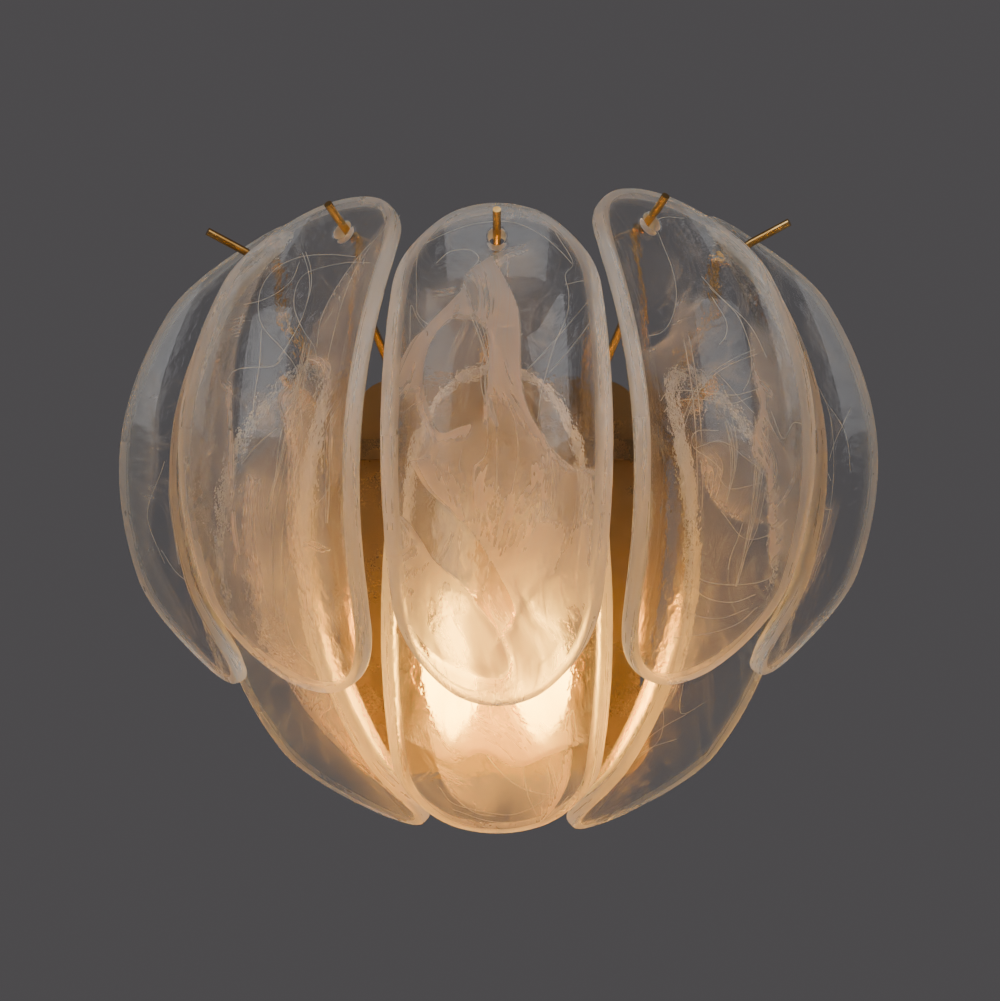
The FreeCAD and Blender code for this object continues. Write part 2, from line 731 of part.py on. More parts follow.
def make_lampholder(side, factor):
    """Holder body, brass screw shell, centre contact, threaded nipple and its nuts."""
    x, y = lamp_place(factor)
    inner = size("holder_radius") - size("holder_wall")
    top, mouth, floor = size("holder_top"), size("holder_mouth"), size("holder_floor")
    roof, floor_top = top - size("holder_roof"), floor + size("holder_floor_sheet")
    nipple, bore = size("nipple_radius"), size("nipple_bore")
    chamber = inner - size("shell_wall")
    outline = [(inner, mouth), (size("holder_radius"), mouth), (size("holder_radius"), top), (nipple, top),
               (nipple, roof), (chamber, roof), (chamber, floor_top), (bore, floor_top), (bore, floor),
               (inner, floor)]
    body = turned("holder_" + side, outline)
    put(body, FLAT, x, y, "0")
    keep("lampholder_" + side, body)
    shell_in = size("cap_radius") + size("cap_clearance")
    shell_out = shell_in + size("shell_wall")
    flange = floor - size("shell_wall")
    low = mouth + size("shell_recess")
    shell = turned("shell_" + side, [(shell_in, low), (shell_out, low), (shell_out, flange), (inner, flange),
                                     (inner, floor), (shell_in, floor)])
    put(shell, FLAT, x, y, "0")
    keep("screw_shell_" + side, shell)
    cap_top = size("bulb_neck") + size("cap_length") + size("contact_rise")
    contact = turned("contact_" + side, [(0, cap_top + size("contact_gap")),
                                         (size("contact_radius"), cap_top + size("contact_gap")),
                                         (size("contact_radius"), floor), (bore, floor), (bore, floor_top),
                                         (0, floor_top)])
    put(contact, FLAT, x, y, "0")
    keep("holder_contact_" + side, contact)
    stem = turned("nipple_tube_" + side, [(bore, roof), (nipple, roof), (nipple, size("nipple_top")),
                                          (bore, size("nipple_top"))])
    put(stem, FLAT, x, y, "0")
    keep("nipple_" + side, stem)
    level = size("bracket_level")
    rings = []
    for name, low, high in (("low", top, level),
                            ("high", level + size("bracket_sheet"),
                             level + size("bracket_sheet") + size("nut_height"))):
        nut = doc.addObject("Part::Prism", "nut_%s_%s" % (name, side))
        nut.Polygon = 6
        nut.Circumradius = size("nut_radius")
        nut.Height = high - low
        put(nut, FLAT, x, y, str(low))
        hole = rod("nut_hole_%s_%s" % (name, side), "sizes.nipple_radius", str(high - low), (x, y, str(low)))
        rings.append(cut("nut_%s_%s_piece" % (name, side), nut, [hole]))
    keep("nipple_nuts_" + side, group("nuts_" + side, rings))


def bulb_curve(radius, neck, low, wall):
    """The candle lamp's side from its neck to its tip, drawn in by the wall."""
    length = neck - low
    shares = ((0.37, 0.0), (0.50, 0.12), (0.84, 0.28), (1.0, 0.47), (0.84, 0.69), (0.47, 0.87))
    points = [Vec(share * radius - wall, neck - down * length, 0) for share, down in shares]
    points.append(Vec(0, low + wall, 0))
    curve = Part.BSplineCurve()
    curve.interpolate(points)
    return curve


def make_lamp(side, factor):
    """Candle lamp: thin glass, screw cap and the filament on its glass stem."""
    x, y = lamp_place(factor)
    neck = size("bulb_neck")
    low = neck - size("bulb_length")
    outer = bulb_curve(size("bulb_radius"), neck, low, 0)
    inner = bulb_curve(size("bulb_radius"), neck, low, size("bulb_wall"))
    ends = [(c.value(c.FirstParameter), c.value(c.LastParameter)) for c in (outer, inner)]
    glass = doc.addObject("Part::Revolution", "bulb_" + side)
    glass.Source = sketch("bulb_%s_outline" % side,
                          [outer, inner, Part.LineSegment(ends[0][0], ends[1][0]),
                           Part.LineSegment(ends[0][1], ends[1][1])], OUTWARD)
    glass.Axis = Z_AXIS
    glass.Solid = True
    put(glass, FLAT, x, y, "0")
    keep("bulb_glass_" + side, glass)
    cap, length = size("cap_radius"), size("cap_length")
    tip, rise = size("contact_radius"), size("contact_rise")
    top = neck + length + rise
    screw = turned("cap_" + side, [(0, neck), (cap, neck), (cap, neck + length), (tip, top - rise / 2),
                                   (tip, top), (0, top)])
    put(screw, FLAT, x, y, "0")
    keep("bulb_cap_" + side, screw)
    wire, spread, foot = size("filament_radius"), size("filament_reach"), size("stem_radius")
    stem_end = neck - size("stem_length")
    level = neck - size("filament_drop")
    post = turned("stem_" + side, [(0, neck), (foot, neck), (size("stem_tip_radius"), stem_end), (0, stem_end)])
    bars = [post]
    bars.append(rod("filament_bar_" + side, "sizes.filament_radius", str(2 * spread),
                    (str(-spread), "0", str(level)), Rotation(Y_AXIS, 90)))
    for end in (-1, 1):
        start = Vec(end * foot / 3, 0, stem_end + size("leg_root"))
        run = Vec(end * (spread - wire), 0, level) - start
        bar = doc.addObject("Part::Cylinder", "filament_leg_%s_%d" % (side, end + 1))
        bar.Radius = size("leg_radius")
        bar.Height = run.Length
        bar.Placement = Placement(start, Rotation(Z_AXIS, run))
        bars.append(bar)
    mount = fuse("filament_" + side, bars)
    put(mount, FLAT, x, y, "0")
    keep("bulb_filament_" + side, mount)


# ---------------------------------------------------------------- wiring

def make_lead_bush():
    """Rubber bush that lines the back plate's lead hole."""
    back = "-(sizes.plate_depth - sizes.plate_sheet)"
    neck = rod("bush_neck", "sizes.bush_radius", "sizes.plate_sheet", ("0", back, "sizes.bush_level"), OUTWARD)
    lips = []
    for name, start in (("back", back + " + sizes.bush_lip"), ("front", "-sizes.plate_depth")):
        lips.append(rod("bush_lip_" + name, "sizes.bush_radius + sizes.bush_lip", "sizes.bush_lip",
                        ("0", start, "sizes.bush_level"), OUTWARD))
    ways = []
    for side, factor in LAMPS:
        ways.append(rod("bush_way_" + side, "sizes.lead_radius", "sizes.plate_sheet + 2 * sizes.bush_lip",
                        (factor + " * sizes.lead_offset", back + " + sizes.bush_lip", "sizes.bush_level"),
                        OUTWARD))
    keep("lead_bush", cut("bush", fuse("bush_blank", [neck] + lips), ways))


BEND_SHARE = 0.45       # each bend's tangent as a share of the shorter of its two runs


def make_lead(side, sign):
    """A two-core lead from the terminal block through the bush and down into its lampholder."""
    block_top = size("block_level") + size("block_height")
    behind = -size("strap_sheet") - size("block_depth") / 2
    front = -size("plate_depth")
    level = size("bush_level")
    across = sign * size("lamp_spacing") / 2
    stand = -size("lamp_stand")
    way = sign * size("lead_offset")
    start = sign * size("terminal_pitch")
    rise, run = size("lead_rise"), size("lead_run")
    points = [Vec(start, behind, block_top),
              Vec(start, behind, block_top + 0.6 * rise),
              Vec(way, behind, level),
              Vec(way, front - run, level),
              Vec((way + across) / 2, (front + stand - run) / 2, level + 0.7 * rise),
              Vec(across, stand, level + rise),
              Vec(across, stand, size("holder_floor") + size("holder_floor_sheet"))]
    bends = []
    for before, corner, after in zip(points, points[1:], points[2:]):
        shorter = min((corner - before).Length, (after - corner).Length)
        half = (math.pi - (before - corner).getAngle(after - corner)) / 2
        bends.append(BEND_SHARE * shorter / math.tan(half))
    print("lead_%s bend radii: %s" % (side, ", ".join("%.1f" % bend for bend in bends)))
    keep("lead_" + side, bent_rod("lead_%s_run" % side, points, bends, "sizes.lead_radius"))


# ---------------------------------------------------------------- the whole light

def check(item):
    """Stop if an object failed or holds no valid shape."""
    if "Invalid" in item.State or "Error" in item.State:
        raise RuntimeError("%s failed: %s" % (item.Label, item.State))


make_wall_strap()
make_tray_fixings()
make_strap_fittings()
make_back_plate()
make_plate_screws()
make_band()
make_spokes()
for petal in petals():
    make_hook(petal)
    make_petal(petal)
make_lamp_bracket()
for side, factor in LAMPS:
    make_lampholder(side, factor)
    make_lamp(side, factor)
make_lead_bush()
for side, factor in LAMPS:
    make_lead(side, float(factor))
doc.recompute()

for item in doc.Objects:
    check(item)
os.makedirs("parts", exist_ok=True)
for piece in pieces:
    shape = piece.Shape
    if shape.isNull() or not shape.isValid() or not shape.Solids:
        raise RuntimeError("%s has no valid solid" % piece.Label)
for piece in pieces:
    piece.Shape.exportStep("parts/%s.step" % piece.Label)
print("%d pieces written" % len(pieces))
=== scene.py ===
"""Wall light with two rows of hanging glass petals round two small candle lamps.

Lengths are in metres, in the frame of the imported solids: the wall is the plane Y = 0, the light
stands out of it towards -Y, +X is to the right and +Z is up.
"""
import math
import bpy
import numpy as np
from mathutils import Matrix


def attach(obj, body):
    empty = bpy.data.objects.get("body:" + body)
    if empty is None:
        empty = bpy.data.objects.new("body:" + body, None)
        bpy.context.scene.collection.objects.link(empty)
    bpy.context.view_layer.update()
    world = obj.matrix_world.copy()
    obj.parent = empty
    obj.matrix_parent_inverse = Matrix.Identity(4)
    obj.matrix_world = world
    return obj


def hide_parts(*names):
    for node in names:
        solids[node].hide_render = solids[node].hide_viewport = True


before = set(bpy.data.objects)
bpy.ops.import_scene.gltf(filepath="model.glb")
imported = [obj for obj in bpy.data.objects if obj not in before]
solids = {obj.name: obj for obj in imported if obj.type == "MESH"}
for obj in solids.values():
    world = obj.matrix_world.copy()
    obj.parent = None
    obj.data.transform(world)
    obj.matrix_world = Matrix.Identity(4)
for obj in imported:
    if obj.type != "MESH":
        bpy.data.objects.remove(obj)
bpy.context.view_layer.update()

# ---------------------------------------------------------------- wall strap and its fixings
# A zinc-plated steel strap screwed flat to the wall, with two threaded studs and an earth screw.
# Rolled sheet, so its plating is even with faint cloudy spangles and a few dull marks.


def new_finish(name):
    """An empty material and its node tree."""
    finish = bpy.data.materials.new(name)
    finish.use_nodes = True
    finish.node_tree.nodes.clear()
    return finish, finish.node_tree


def node(tree, kind, wires=None, **settings):
    """A shader node with its settings, and its inputs set or wired by name or number."""
    made = tree.nodes.new(kind)
    for name, value in settings.items():
        setattr(made, name, value)
    for place, value in (wires or {}).items():
        if isinstance(value, bpy.types.NodeSocket):
            tree.links.new(value, made.inputs[place])
        else:
            made.inputs[place].default_value = value
    return made


def maths(tree, operation, first, second=0.0, third=0.0, clamp=False):
    """The result of a Math node."""
    made = node(tree, "ShaderNodeMath", {0: first, 1: second, 2: third}, operation=operation,
                use_clamp=clamp)
    return made.outputs[0]


def noise(tree, place, scale, detail=3.0, roughness=0.55, distortion=0.0):
    """The value of a noise pattern at a place."""
    made = node(tree, "ShaderNodeTexNoise", {"Vector": place, "Scale": scale, "Detail": detail,
                                             "Roughness": roughness, "Distortion": distortion})
    return made.outputs["Fac"]


def spread(tree, value, low, high, start=0.0, end=1.0, smooth=True):
    """A value's range low to high carried to the range start to end."""
    made = node(tree, "ShaderNodeMapRange", {"Value": value, "From Min": low, "From Max": high,
                                             "To Min": start, "To Max": end})
    made.interpolation_type = "SMOOTHSTEP" if smooth else "LINEAR"
    return made.outputs["Result"]


def blend_colours(tree, share, first, second):
    """Two colours mixed by a share."""
    made = node(tree, "ShaderNodeMix", data_type="RGBA")
    for place, value in ((0, share), (6, first), (7, second)):
        if isinstance(value, bpy.types.NodeSocket):
            tree.links.new(value, made.inputs[place])
        else:
            made.inputs[place].default_value = value
    return made.outputs[2]


def metal_finish(name, bright, dull, smooth, rough, grain, cloud=18.0, dent=0.00004):
    """A metal whose colour and gloss drift between two states, with a fine grain in its surface."""
    finish, tree = new_finish(name)
    place = node(tree, "ShaderNodeTexCoord").outputs["Object"]
    clouds = spread(tree, noise(tree, place, cloud, 4.0, 0.6), 0.38, 0.68)
    fine = noise(tree, place, grain, 5.0, 0.7)
    shine = maths(tree, "ADD", spread(tree, clouds, 0.0, 1.0, smooth, rough, False),
                  spread(tree, fine, 0.3, 0.7, -0.02, 0.02, False))
    bump = node(tree, "ShaderNodeBump", {"Strength": 1.0, "Distance": dent, "Height": fine})
    body = node(tree, "ShaderNodeBsdfPrincipled", {"Base Color": blend_colours(tree, clouds, bright, dull),
                                                   "Roughness": shine, "Normal": bump.outputs["Normal"],
                                                   "Metallic": 1.0})
    node(tree, "ShaderNodeOutputMaterial", {"Surface": body.outputs[0]})
    return finish


def plain_finish(name, pale, dark, rough, grain, dent=0.00005):
    """A plastic or rubber with a slight mottle and a moulded grain."""
    finish, tree = new_finish(name)
    place = node(tree, "ShaderNodeTexCoord").outputs["Object"]
    mottle = spread(tree, noise(tree, place, 40.0), 0.35, 0.7)
    fine = noise(tree, place, grain, 4.0, 0.7)
    bump = node(tree, "ShaderNodeBump", {"Strength": 1.0, "Distance": dent, "Height": fine})
    body = node(tree, "ShaderNodeBsdfPrincipled", {"Base Color": blend_colours(tree, mottle, pale, dark),
                                                   "Roughness": rough, "Normal": bump.outputs["Normal"]})
    node(tree, "ShaderNodeOutputMaterial", {"Surface": body.outputs[0]})
    return finish


def dress(finish, *names):
    """Give solids of the frame a finish."""
    for name in names:
        solid = solids[name]
        solid.data.materials.clear()
        solid.data.materials.append(finish)


zinc = metal_finish("zinc_plate", (0.56, 0.56, 0.54, 1), (0.36, 0.37, 0.38, 1), 0.28, 0.5, 900.0, 55.0)
dress(zinc, "wall_strap", "tray_studs", "earth_screw", "spoke_screws", "bracket_screws", "terminal_screws")

# ---------------------------------------------------------------- cable inlet and terminal block
# A rubber grommet lines the strap's inlet. The supply joins the leads in a glossy moulded block
# that is stuck to the strap, with a row of clamping screws in its face.
black_rubber = plain_finish("black_rubber", (0.03, 0.03, 0.03, 1), (0.015, 0.015, 0.015, 1), 0.62, 700.0)
white_plastic = plain_finish("white_block_plastic", (0.72, 0.72, 0.7, 1), (0.62, 0.62, 0.59, 1), 0.3, 500.0)
dress(black_rubber, "cable_grommet", "lead_bush")
dress(white_plastic, "terminal_block")

# ---------------------------------------------------------------- gilt tray, band and spokes
# A shallow pressed tray covers the strap and carries flat arms and a half-round strip, all brass,
# polished and gilded, now a little clouded. Their gilt is a darker copy of the hooks' gilt: painted
# shade that holds down the lamp light falling on the tray.
# Painted shade: the same gilt as the hooks, set darker against the lamp light on the tray.
tray_gilt_painted_shade = metal_finish("tray_gilt_painted_shade", (0.4, 0.26, 0.13, 1), (0.3, 0.19, 0.09, 1), 0.24, 0.36, 1200.0, 16.0)
dress(tray_gilt_painted_shade, "back_plate", "tray_cap_nuts", "hanger_band", "spoke_left", "spoke_middle", "spoke_right")

# ---------------------------------------------------------------- hooks
# Round brass rod, bent cold and gilded, soldered upright on the band. Each ends in a raised tip
# that comes out through the hole of its petal.
gilt = metal_finish("gilt_brass", (0.84, 0.54, 0.2, 1), (0.5, 0.26, 0.07, 1), 0.12, 0.26, 1200.0, 40.0)
hook_names = ["hook_upper_%d" % n for n in range(1, 6)] + ["hook_lower_%d" % n for n in range(1, 4)]
dress(gilt, *hook_names)

# ---------------------------------------------------------------- lamp bracket and lampholders
# A bent zinc-plated strip holds two hanging screw lampholders of heat-proof plastic by threaded
# brass tubes and hexagon nuts.
holder_plastic = plain_finish("holder_plastic", (0.74, 0.69, 0.58, 1), (0.64, 0.58, 0.46, 1), 0.48, 420.0)
contact_brass = metal_finish("contact_brass", (0.66, 0.48, 0.22, 1), (0.46, 0.32, 0.14, 1), 0.3, 0.5,
                             700.0, 40.0)
cap_metal = metal_finish("cap_metal", (0.66, 0.66, 0.64, 1), (0.5, 0.5, 0.49, 1), 0.22, 0.4, 800.0, 60.0)
dress(zinc, "lamp_bracket")
for side in ("left", "right"):
    dress(holder_plastic, "lampholder_" + side)
    dress(contact_brass, "screw_shell_" + side, "holder_contact_" + side, "nipple_" + side,
          "nipple_nuts_" + side)
    dress(cap_metal, "bulb_cap_" + side)

# ---------------------------------------------------------------- candle lamps
# Small candle lamps hang tip down, lit warm white. The thin glass glows all over round a hotter
# filament on its glass stem.


def glowing_finish(name, colour, strength, rough):
    """Glass or wire that gives off light."""
    finish, tree = new_finish(name)
    place = node(tree, "ShaderNodeTexCoord").outputs["Object"]
    drift = spread(tree, noise(tree, place, 30.0), 0.3, 0.7, 0.85, 1.1)
    glow = maths(tree, "MULTIPLY", drift, strength)
    body = node(tree, "ShaderNodeBsdfPrincipled", {"Base Color": (1.0, 0.95, 0.86, 1), "Roughness": rough,
                                                   "Emission Color": colour, "Emission Strength": glow})
    node(tree, "ShaderNodeOutputMaterial", {"Surface": body.outputs[0]})
    return finish


lit_glass = glowing_finish("lit_lamp_glass", (1.0, 0.5, 0.05, 1), 35.0, 0.1)
filament = glowing_finish("glowing_filament", (1.0, 0.72, 0.4, 1), 60.0, 0.3)
for side in ("left", "right"):
    dress(lit_glass, "bulb_glass_" + side)
    dress(filament, "bulb_filament_" + side)

# ---------------------------------------------------------------- leads
# Two-core leads in a clear gold sheath run from the terminal block through the rubber bush of the
# tray, and down through the threaded tubes into the lampholders.
sheath = plain_finish("gold_sheath", (0.6, 0.42, 0.16, 1), (0.48, 0.32, 0.1, 1), 0.3, 600.0)
dress(sheath, "lead_left", "lead_right")

# ---------------------------------------------------------------- glass petals
# Each petal is a slab of clear glass cast on a pebbled plate and sagged over a saddle-shaped former:
# bent lengthwise, its sides curling out, the rim fire-polished round and milky. White glass, trailed
# in while it was soft, drifts through it in veils and threads. It hangs by one drilled hole.

GLASS = 0.008
BEND = 0.201
CROWN_RADIUS = 0.120
CURL_SHARE = 0.835
SIDE_RADIUS = 0.600
HOLE_RADIUS = 0.0045
HOLE_EASE = 0.0006
RIM = 0.0038
RIM_PROUD = 0.0007
RIM_FADE = 0.0012
ROWS = {
    "upper": {"half_width": 0.05425, "half_crown": 0.021, "seat": (0.124, 0.167), "lean": 6.8},
    "lower": {"half_width": 0.056, "half_crown": 0.025, "seat": (0.103, 0.089), "lean": -13.0},
}
OUTER = {"length": 0.224, "hole_inset": 0.024}
MIDDLE = {"length": 0.234, "hole_inset": 0.022}
LOWER = {"length": 0.2306, "hole_inset": 0.018}


def petal_shape(row, kind, azimuth, spread, lift):
    """One petal's sizes and its seat on its hook: a little outside and above the even row."""
    shape = dict(ROWS[row], azimuth=azimuth, **kind)
    reach, height = shape["seat"]
    shape["seat"] = (reach + spread, height + lift)
    shape["curl"] = CURL_SHARE * shape["half_width"]
    return shape


SHAPES = {
    "petal_upper_1": petal_shape("upper", OUTER, -69.0, -0.0025, -0.01),
    "petal_upper_2": petal_shape("upper", MIDDLE, -34.3, 0.0, 0.0015),
    "petal_upper_3": petal_shape("upper", MIDDLE, 0.0, 0.0, -0.0033),
    "petal_upper_4": petal_shape("upper", MIDDLE, 34.3, 0.0, 0.0054),
    "petal_upper_5": petal_shape("upper", OUTER, 69.0, -0.001, -0.0054),
    "petal_lower_1": petal_shape("lower", LOWER, -59.7, -0.002, 0.002),
    "petal_lower_2": petal_shape("lower", LOWER, 0.0, 0.0, 0.0),
    "petal_lower_3": petal_shape("lower", LOWER, 59.7, -0.0005, 0.0),
}

# White threads that show one by one, as points across and along the petal in millimetres.
THREADS = {
    "petal_upper_1": [
        [(-30, 60), (-24, 48), (-10, 36)], [(-38, -52), (-26, -62), (-6, -68)],
        [(-34, -8), (-44, -34), (-36, -58)], [(6, -74), (20, -84), (32, -80)], [(0, 92), (14, 70), (18, 40)]],
    "petal_upper_2": [
        [(15, 85), (-3, 87), (-20, 86), (-31, 80), (-35, 68), (-30, 52), (-15, 40), (-3, 28), (-2, 10),
         (-6, -15), (-14, -45), (-19, -85)],
        [(32, 80), (13, 82), (-3, 81), (-14, 78), (-17, 71), (-14, 60), (-5, 49), (5, 40), (10, 31)],
        [(-20, 84), (-20, 74), (-25, 68), (-33, 64), (-41, 62)], [(29, 100), (21, 83), (18, 68), (15, 34)],
        [(44, 104), (32, 97), (18, 87), (9, 71), (5, 55), (7, 40)], [(18, 110), (32, 100), (41, 92)],
        [(-29, 49), (-27, 34), (-27, 19), (-26, 3)], [(-41, 24), (-38, 29), (-30, 31), (-19, 32), (-14, 36)],
        [(0, 34), (-9, 2), (-11, -21), (-15, -45)], [(-3, 24), (5, -5), (-3, -29), (-9, -53), (-11, -78)],
        [(-5, -58), (-12, -83), (-11, -99), (-3, -107)], [(27, -24), (16, -32), (5, -39)],
        [(-31, -15), (-25, -8), (-11, 2)]],
    "petal_upper_3": [
        [(26, 108), (32, 98), (39, 85), (35, 79), (37, 69), (36, 58), (30, 46), (26, 35), (22, 22), (20, 9)],
        [(50, 67), (45, 61), (32, 50), (13, 32)], [(51, 58), (42, 46), (26, 32)],
        [(35, 74), (45, 75), (50, 69), (48, 62)], [(-41, 95), (-42, 82), (-41, 69), (-40, 59), (-33, 53)],
        [(-45, 45), (-45, 62), (-41, 58), (-37, 53)],
        [(-40, 93), (-25, 101), (-9, 107), (8, 108), (22, 101), (32, 92), (39, 84)],
        [(-31, 85), (-23, 92), (-13, 93), (-9, 88), (-13, 82)],
        [(11, -69), (17, -82), (18, -93), (14, -101), (4, -107), (-12, -111), (-28, -104), (-41, -93)],
        [(26, -90), (30, -91), (26, -96), (16, -104), (3, -112)],
        [(22, -62), (23, -72), (26, -83), (32, -88)],
        [(-17, -4), (-18, -12), (-13, -20), (0, -23), (6, -31), (0, -43)]],
    "petal_upper_4": [
        [(23, 103), (12, 103), (4, 99), (2, 89), (2, 73), (-1, 60), (-8, 49), (-16, 43), (-26, 41)],
        [(19, 72), (27, 62), (35, 52), (39, 43), (42, 31)], [(22, 62), (26, 51), (24, 43), (19, 38)],
        [(22, 67), (32, 54), (35, 41), (35, 31), (33, 22), (29, 16)],
        [(-26, 10), (-19, 14), (-6, 16), (10, 15), (25, 14), (39, 17)],
        [(-24, 5), (-14, 10), (2, 12), (21, 10), (33, 13)], [(13, 25), (21, 18), (27, 12), (33, 5)],
        [(12, -3), (0, -3), (-5, -6), (-4, -11), (6, -16), (13, -21), (13, -25), (19, -30), (35, -28)],
        [(-2, -11), (13, -8), (27, -16), (35, -21)], [(37, -33), (34, -48), (30, -59), (27, -71)],
        [(26, -46), (22, -58), (21, -67)], [(-8, -63), (6, -71), (22, -74), (37, -74), (45, -71)],
        [(-6, -69), (10, -79), (26, -82), (37, -79)], [(-10, -80), (6, -87), (22, -89), (35, -85)],
        [(-6, -97), (13, -96), (30, -92), (39, -85)], [(41, 5), (45, -8), (49, -1), (53, -3)],
        [(13, -40), (26, -52), (38, -53), (47, -46)]],
    "petal_upper_5": [
        [(-10, 50), (6, 47), (18, 38), (28, 26), (34, 12), (34, -10), (30, -40), (20, -64)],
        [(28, 26), (30, 12), (14, -4), (4, -20)], [(2, -44), (16, -36), (32, -36)],
        [(32, 22), (42, 4), (44, -18)], [(32, -22), (18, -4), (6, -14), (0, -30)]],
    "petal_lower_1": [
        [(-10, -30), (4, -50), (20, -72), (34, -92)], [(-30, -55), (-10, -72), (14, -90), (34, -100)],
        [(-22, -38), (-6, -60), (2, -84), (20, -100)]],
    "petal_lower_2": [
        [(-7, -67), (0, -76), (11, -86), (24, -91), (31, -91)], [(8, -59), (13, -72), (16, -91), (22, -108)],
        [(34, -67), (33, -80), (29, -89), (18, -99), (6, -104), (-9, -102), (-23, -97), (-30, -87)],
        [(-23, -101), (-5, -108), (13, -108), (29, -102), (38, -91)],
        [(-26, -78), (-23, -91), (-12, -102), (-1, -106)]],
    "petal_lower_3": [
        [(-40, -30), (-20, -44), (0, -48), (12, -66), (-10, -78), (-24, -92)],
        [(24, -50), (6, -58), (-14, -70), (-28, -88), (-34, -100)],
        [(26, -64), (0, -70), (-20, -84), (-32, -102)], [(10, -34), (20, -50), (34, -44)]],
}

# Veils of white glass: points along the folded edge, in millimetres, the side of it that the veil
# lies on when walked from the first point, how far it thins out, and how dense it is.
LEFT, RIGHT = 1, -1
VEILS = {
    "petal_upper_1": [([(-46, 30), (-40, -10), (-44, -50), (-30, -84)], RIGHT, 10, 0.4)],
    "petal_upper_2": [
        ([(6, 54), (16, 76), (28, 96), (38, 106)], RIGHT, 24, 0.4),
        ([(-34, -61), (-35, -45), (-35, -15), (-37, 2), (-39, 21), (-40, 44), (-38, 78)], LEFT, 11, 0.6),
        ([(-7, 21), (-11, 15), (-3, -5), (-2, -21), (-3, -53), (0, -70), (4, -86)], LEFT, 24, 0.55),
        ([(25, -18), (22, 5), (15, 28), (5, 34)], RIGHT, 14, 0.5),
        ([(-30, -24), (-35, -39), (-34, -55), (-28, -73)], LEFT, 9, 0.55),
        ([(-26, -68), (-30, -54), (-30, -40), (-27, -24)], RIGHT, 12, 0.5)],
    "petal_upper_3": [
        ([(58, -19), (48, -15), (40, -14), (30, -7), (21, 4), (14, 17), (11, 32), (11, 50),
          (10, 62), (6, 72), (-1, 84)], LEFT, 22, 0.7),
        ([(12, 93), (0, 89), (-15, 79), (-18, 70), (-25, 63), (-35, 54), (-44, 43), (-52, 26)],
         LEFT, 13, 0.6),
        ([(-17, 6), (-30, 3), (-37, 17), (-39, 32), (-35, 45), (-26, 56), (-17, 59), (-9, 58), (-4, 51),
          (-3, 38), (-6, 14)], LEFT, 10, 0.6),
        ([(3, -88), (10, -80), (8, -70), (0, -57), (-10, -43), (-20, -33), (-33, -23), (-40, -14)],
         RIGHT, 20, 0.6),
        ([(-58, -34), (-46, -39), (-33, -54), (-18, -64), (-9, -75), (0, -86), (5, -96), (4, -103),
          (-2, -104), (-17, -101), (-33, -94), (-44, -85)], RIGHT, 14, 0.6),
        ([(-46, 84), (-36, 98), (-14, 110), (12, 111), (34, 100), (45, 84)], LEFT, 7, 0.45)],
    "petal_upper_4": [
        ([(-29, 34), (-19, 37), (-8, 44), (0, 57)], RIGHT, 12, 0.45),
        ([(37, -46), (26, -45), (13, -38), (6, -29), (2, -17)], RIGHT, 12, 0.5),
        ([(41, -59), (39, -40), (38, -24), (32, -14), (33, -4), (37, 9), (35, 25), (37, 41)],
         RIGHT, 18, 0.65)],
    "petal_upper_5": [([(34, -40), (28, -58), (14, -76), (0, -88)], RIGHT, 12, 0.45)],
    "petal_lower_1": [
        ([(30, -106), (8, -92), (-14, -70), (-28, -44), (-36, -14), (-38, 20)], RIGHT, 34, 0.75)],
    "petal_lower_2": [
        ([(-42, -60), (-24, -71), (-8, -66), (10, -74), (26, -67), (42, -60)], LEFT, 50, 0.62),
        ([(-34, -59), (-30, -76), (-23, -91), (-9, -102)], LEFT, 12, 0.6),
        ([(24, -106), (34, -91), (38, -76), (38, -59)], LEFT, 12, 0.6)],
    "petal_lower_3": [([(-30, -96), (-26, -76), (-14, -56), (2, -38), (10, -10)], LEFT, 14, 0.4)],
}

# How milky each petal is overall, in its upper half and towards its lower end.
HAZE = {"petal_upper_1": (0.0, 0.015), "petal_upper_2": (0.02, 0.07), "petal_upper_3": (0.0, 0.34),
        "petal_upper_4": (0.01, 0.08), "petal_upper_5": (0.0, 0.015), "petal_lower_1": (0.08, 0.14),
        "petal_lower_2": (0.02, 0.07), "petal_lower_3": (0.0, 0.03)}


def smooth_line(points, steps=10):
    """A smooth line through hand-set points, from millimetres to metres."""
    marks = np.array(points, float) / 1000
    marks = np.vstack([2 * marks[0] - marks[1], marks, 2 * marks[-1] - marks[-2]])
    share = np.linspace(0, 1, steps, endpoint=False)[:, None]
    spans = []
    for a, b, c, d in zip(marks, marks[1:], marks[2:], marks[3:]):
        spans.append(0.5 * (2 * b + (c - a) * share + (2 * a - 5 * b + 4 * c - d) * share ** 2
                            + (3 * b - a - 3 * c + d) * share ** 3))
    return np.vstack(spans + [marks[-2:-1]])


# A fold is densest in a thin layer at its edge, a clear seam runs beside it, and both fade out at
# its two ends. The first two are a share and a depth in millimetres, the others are in metres.
EDGE_SHARE, EDGE_DEPTH = 0.35, 1.4
REACH_STRETCH = 1.1
EDGE_BLUR, TIP_FADE = 0.0009, 0.006
SEAM_AWAY, SEAM_WIDTH, SEAM_TIP_FADE = 0.0017, 0.0011, 0.003
FOLD_STRENGTH, SEAM_STRENGTH = 0.72, 0.65


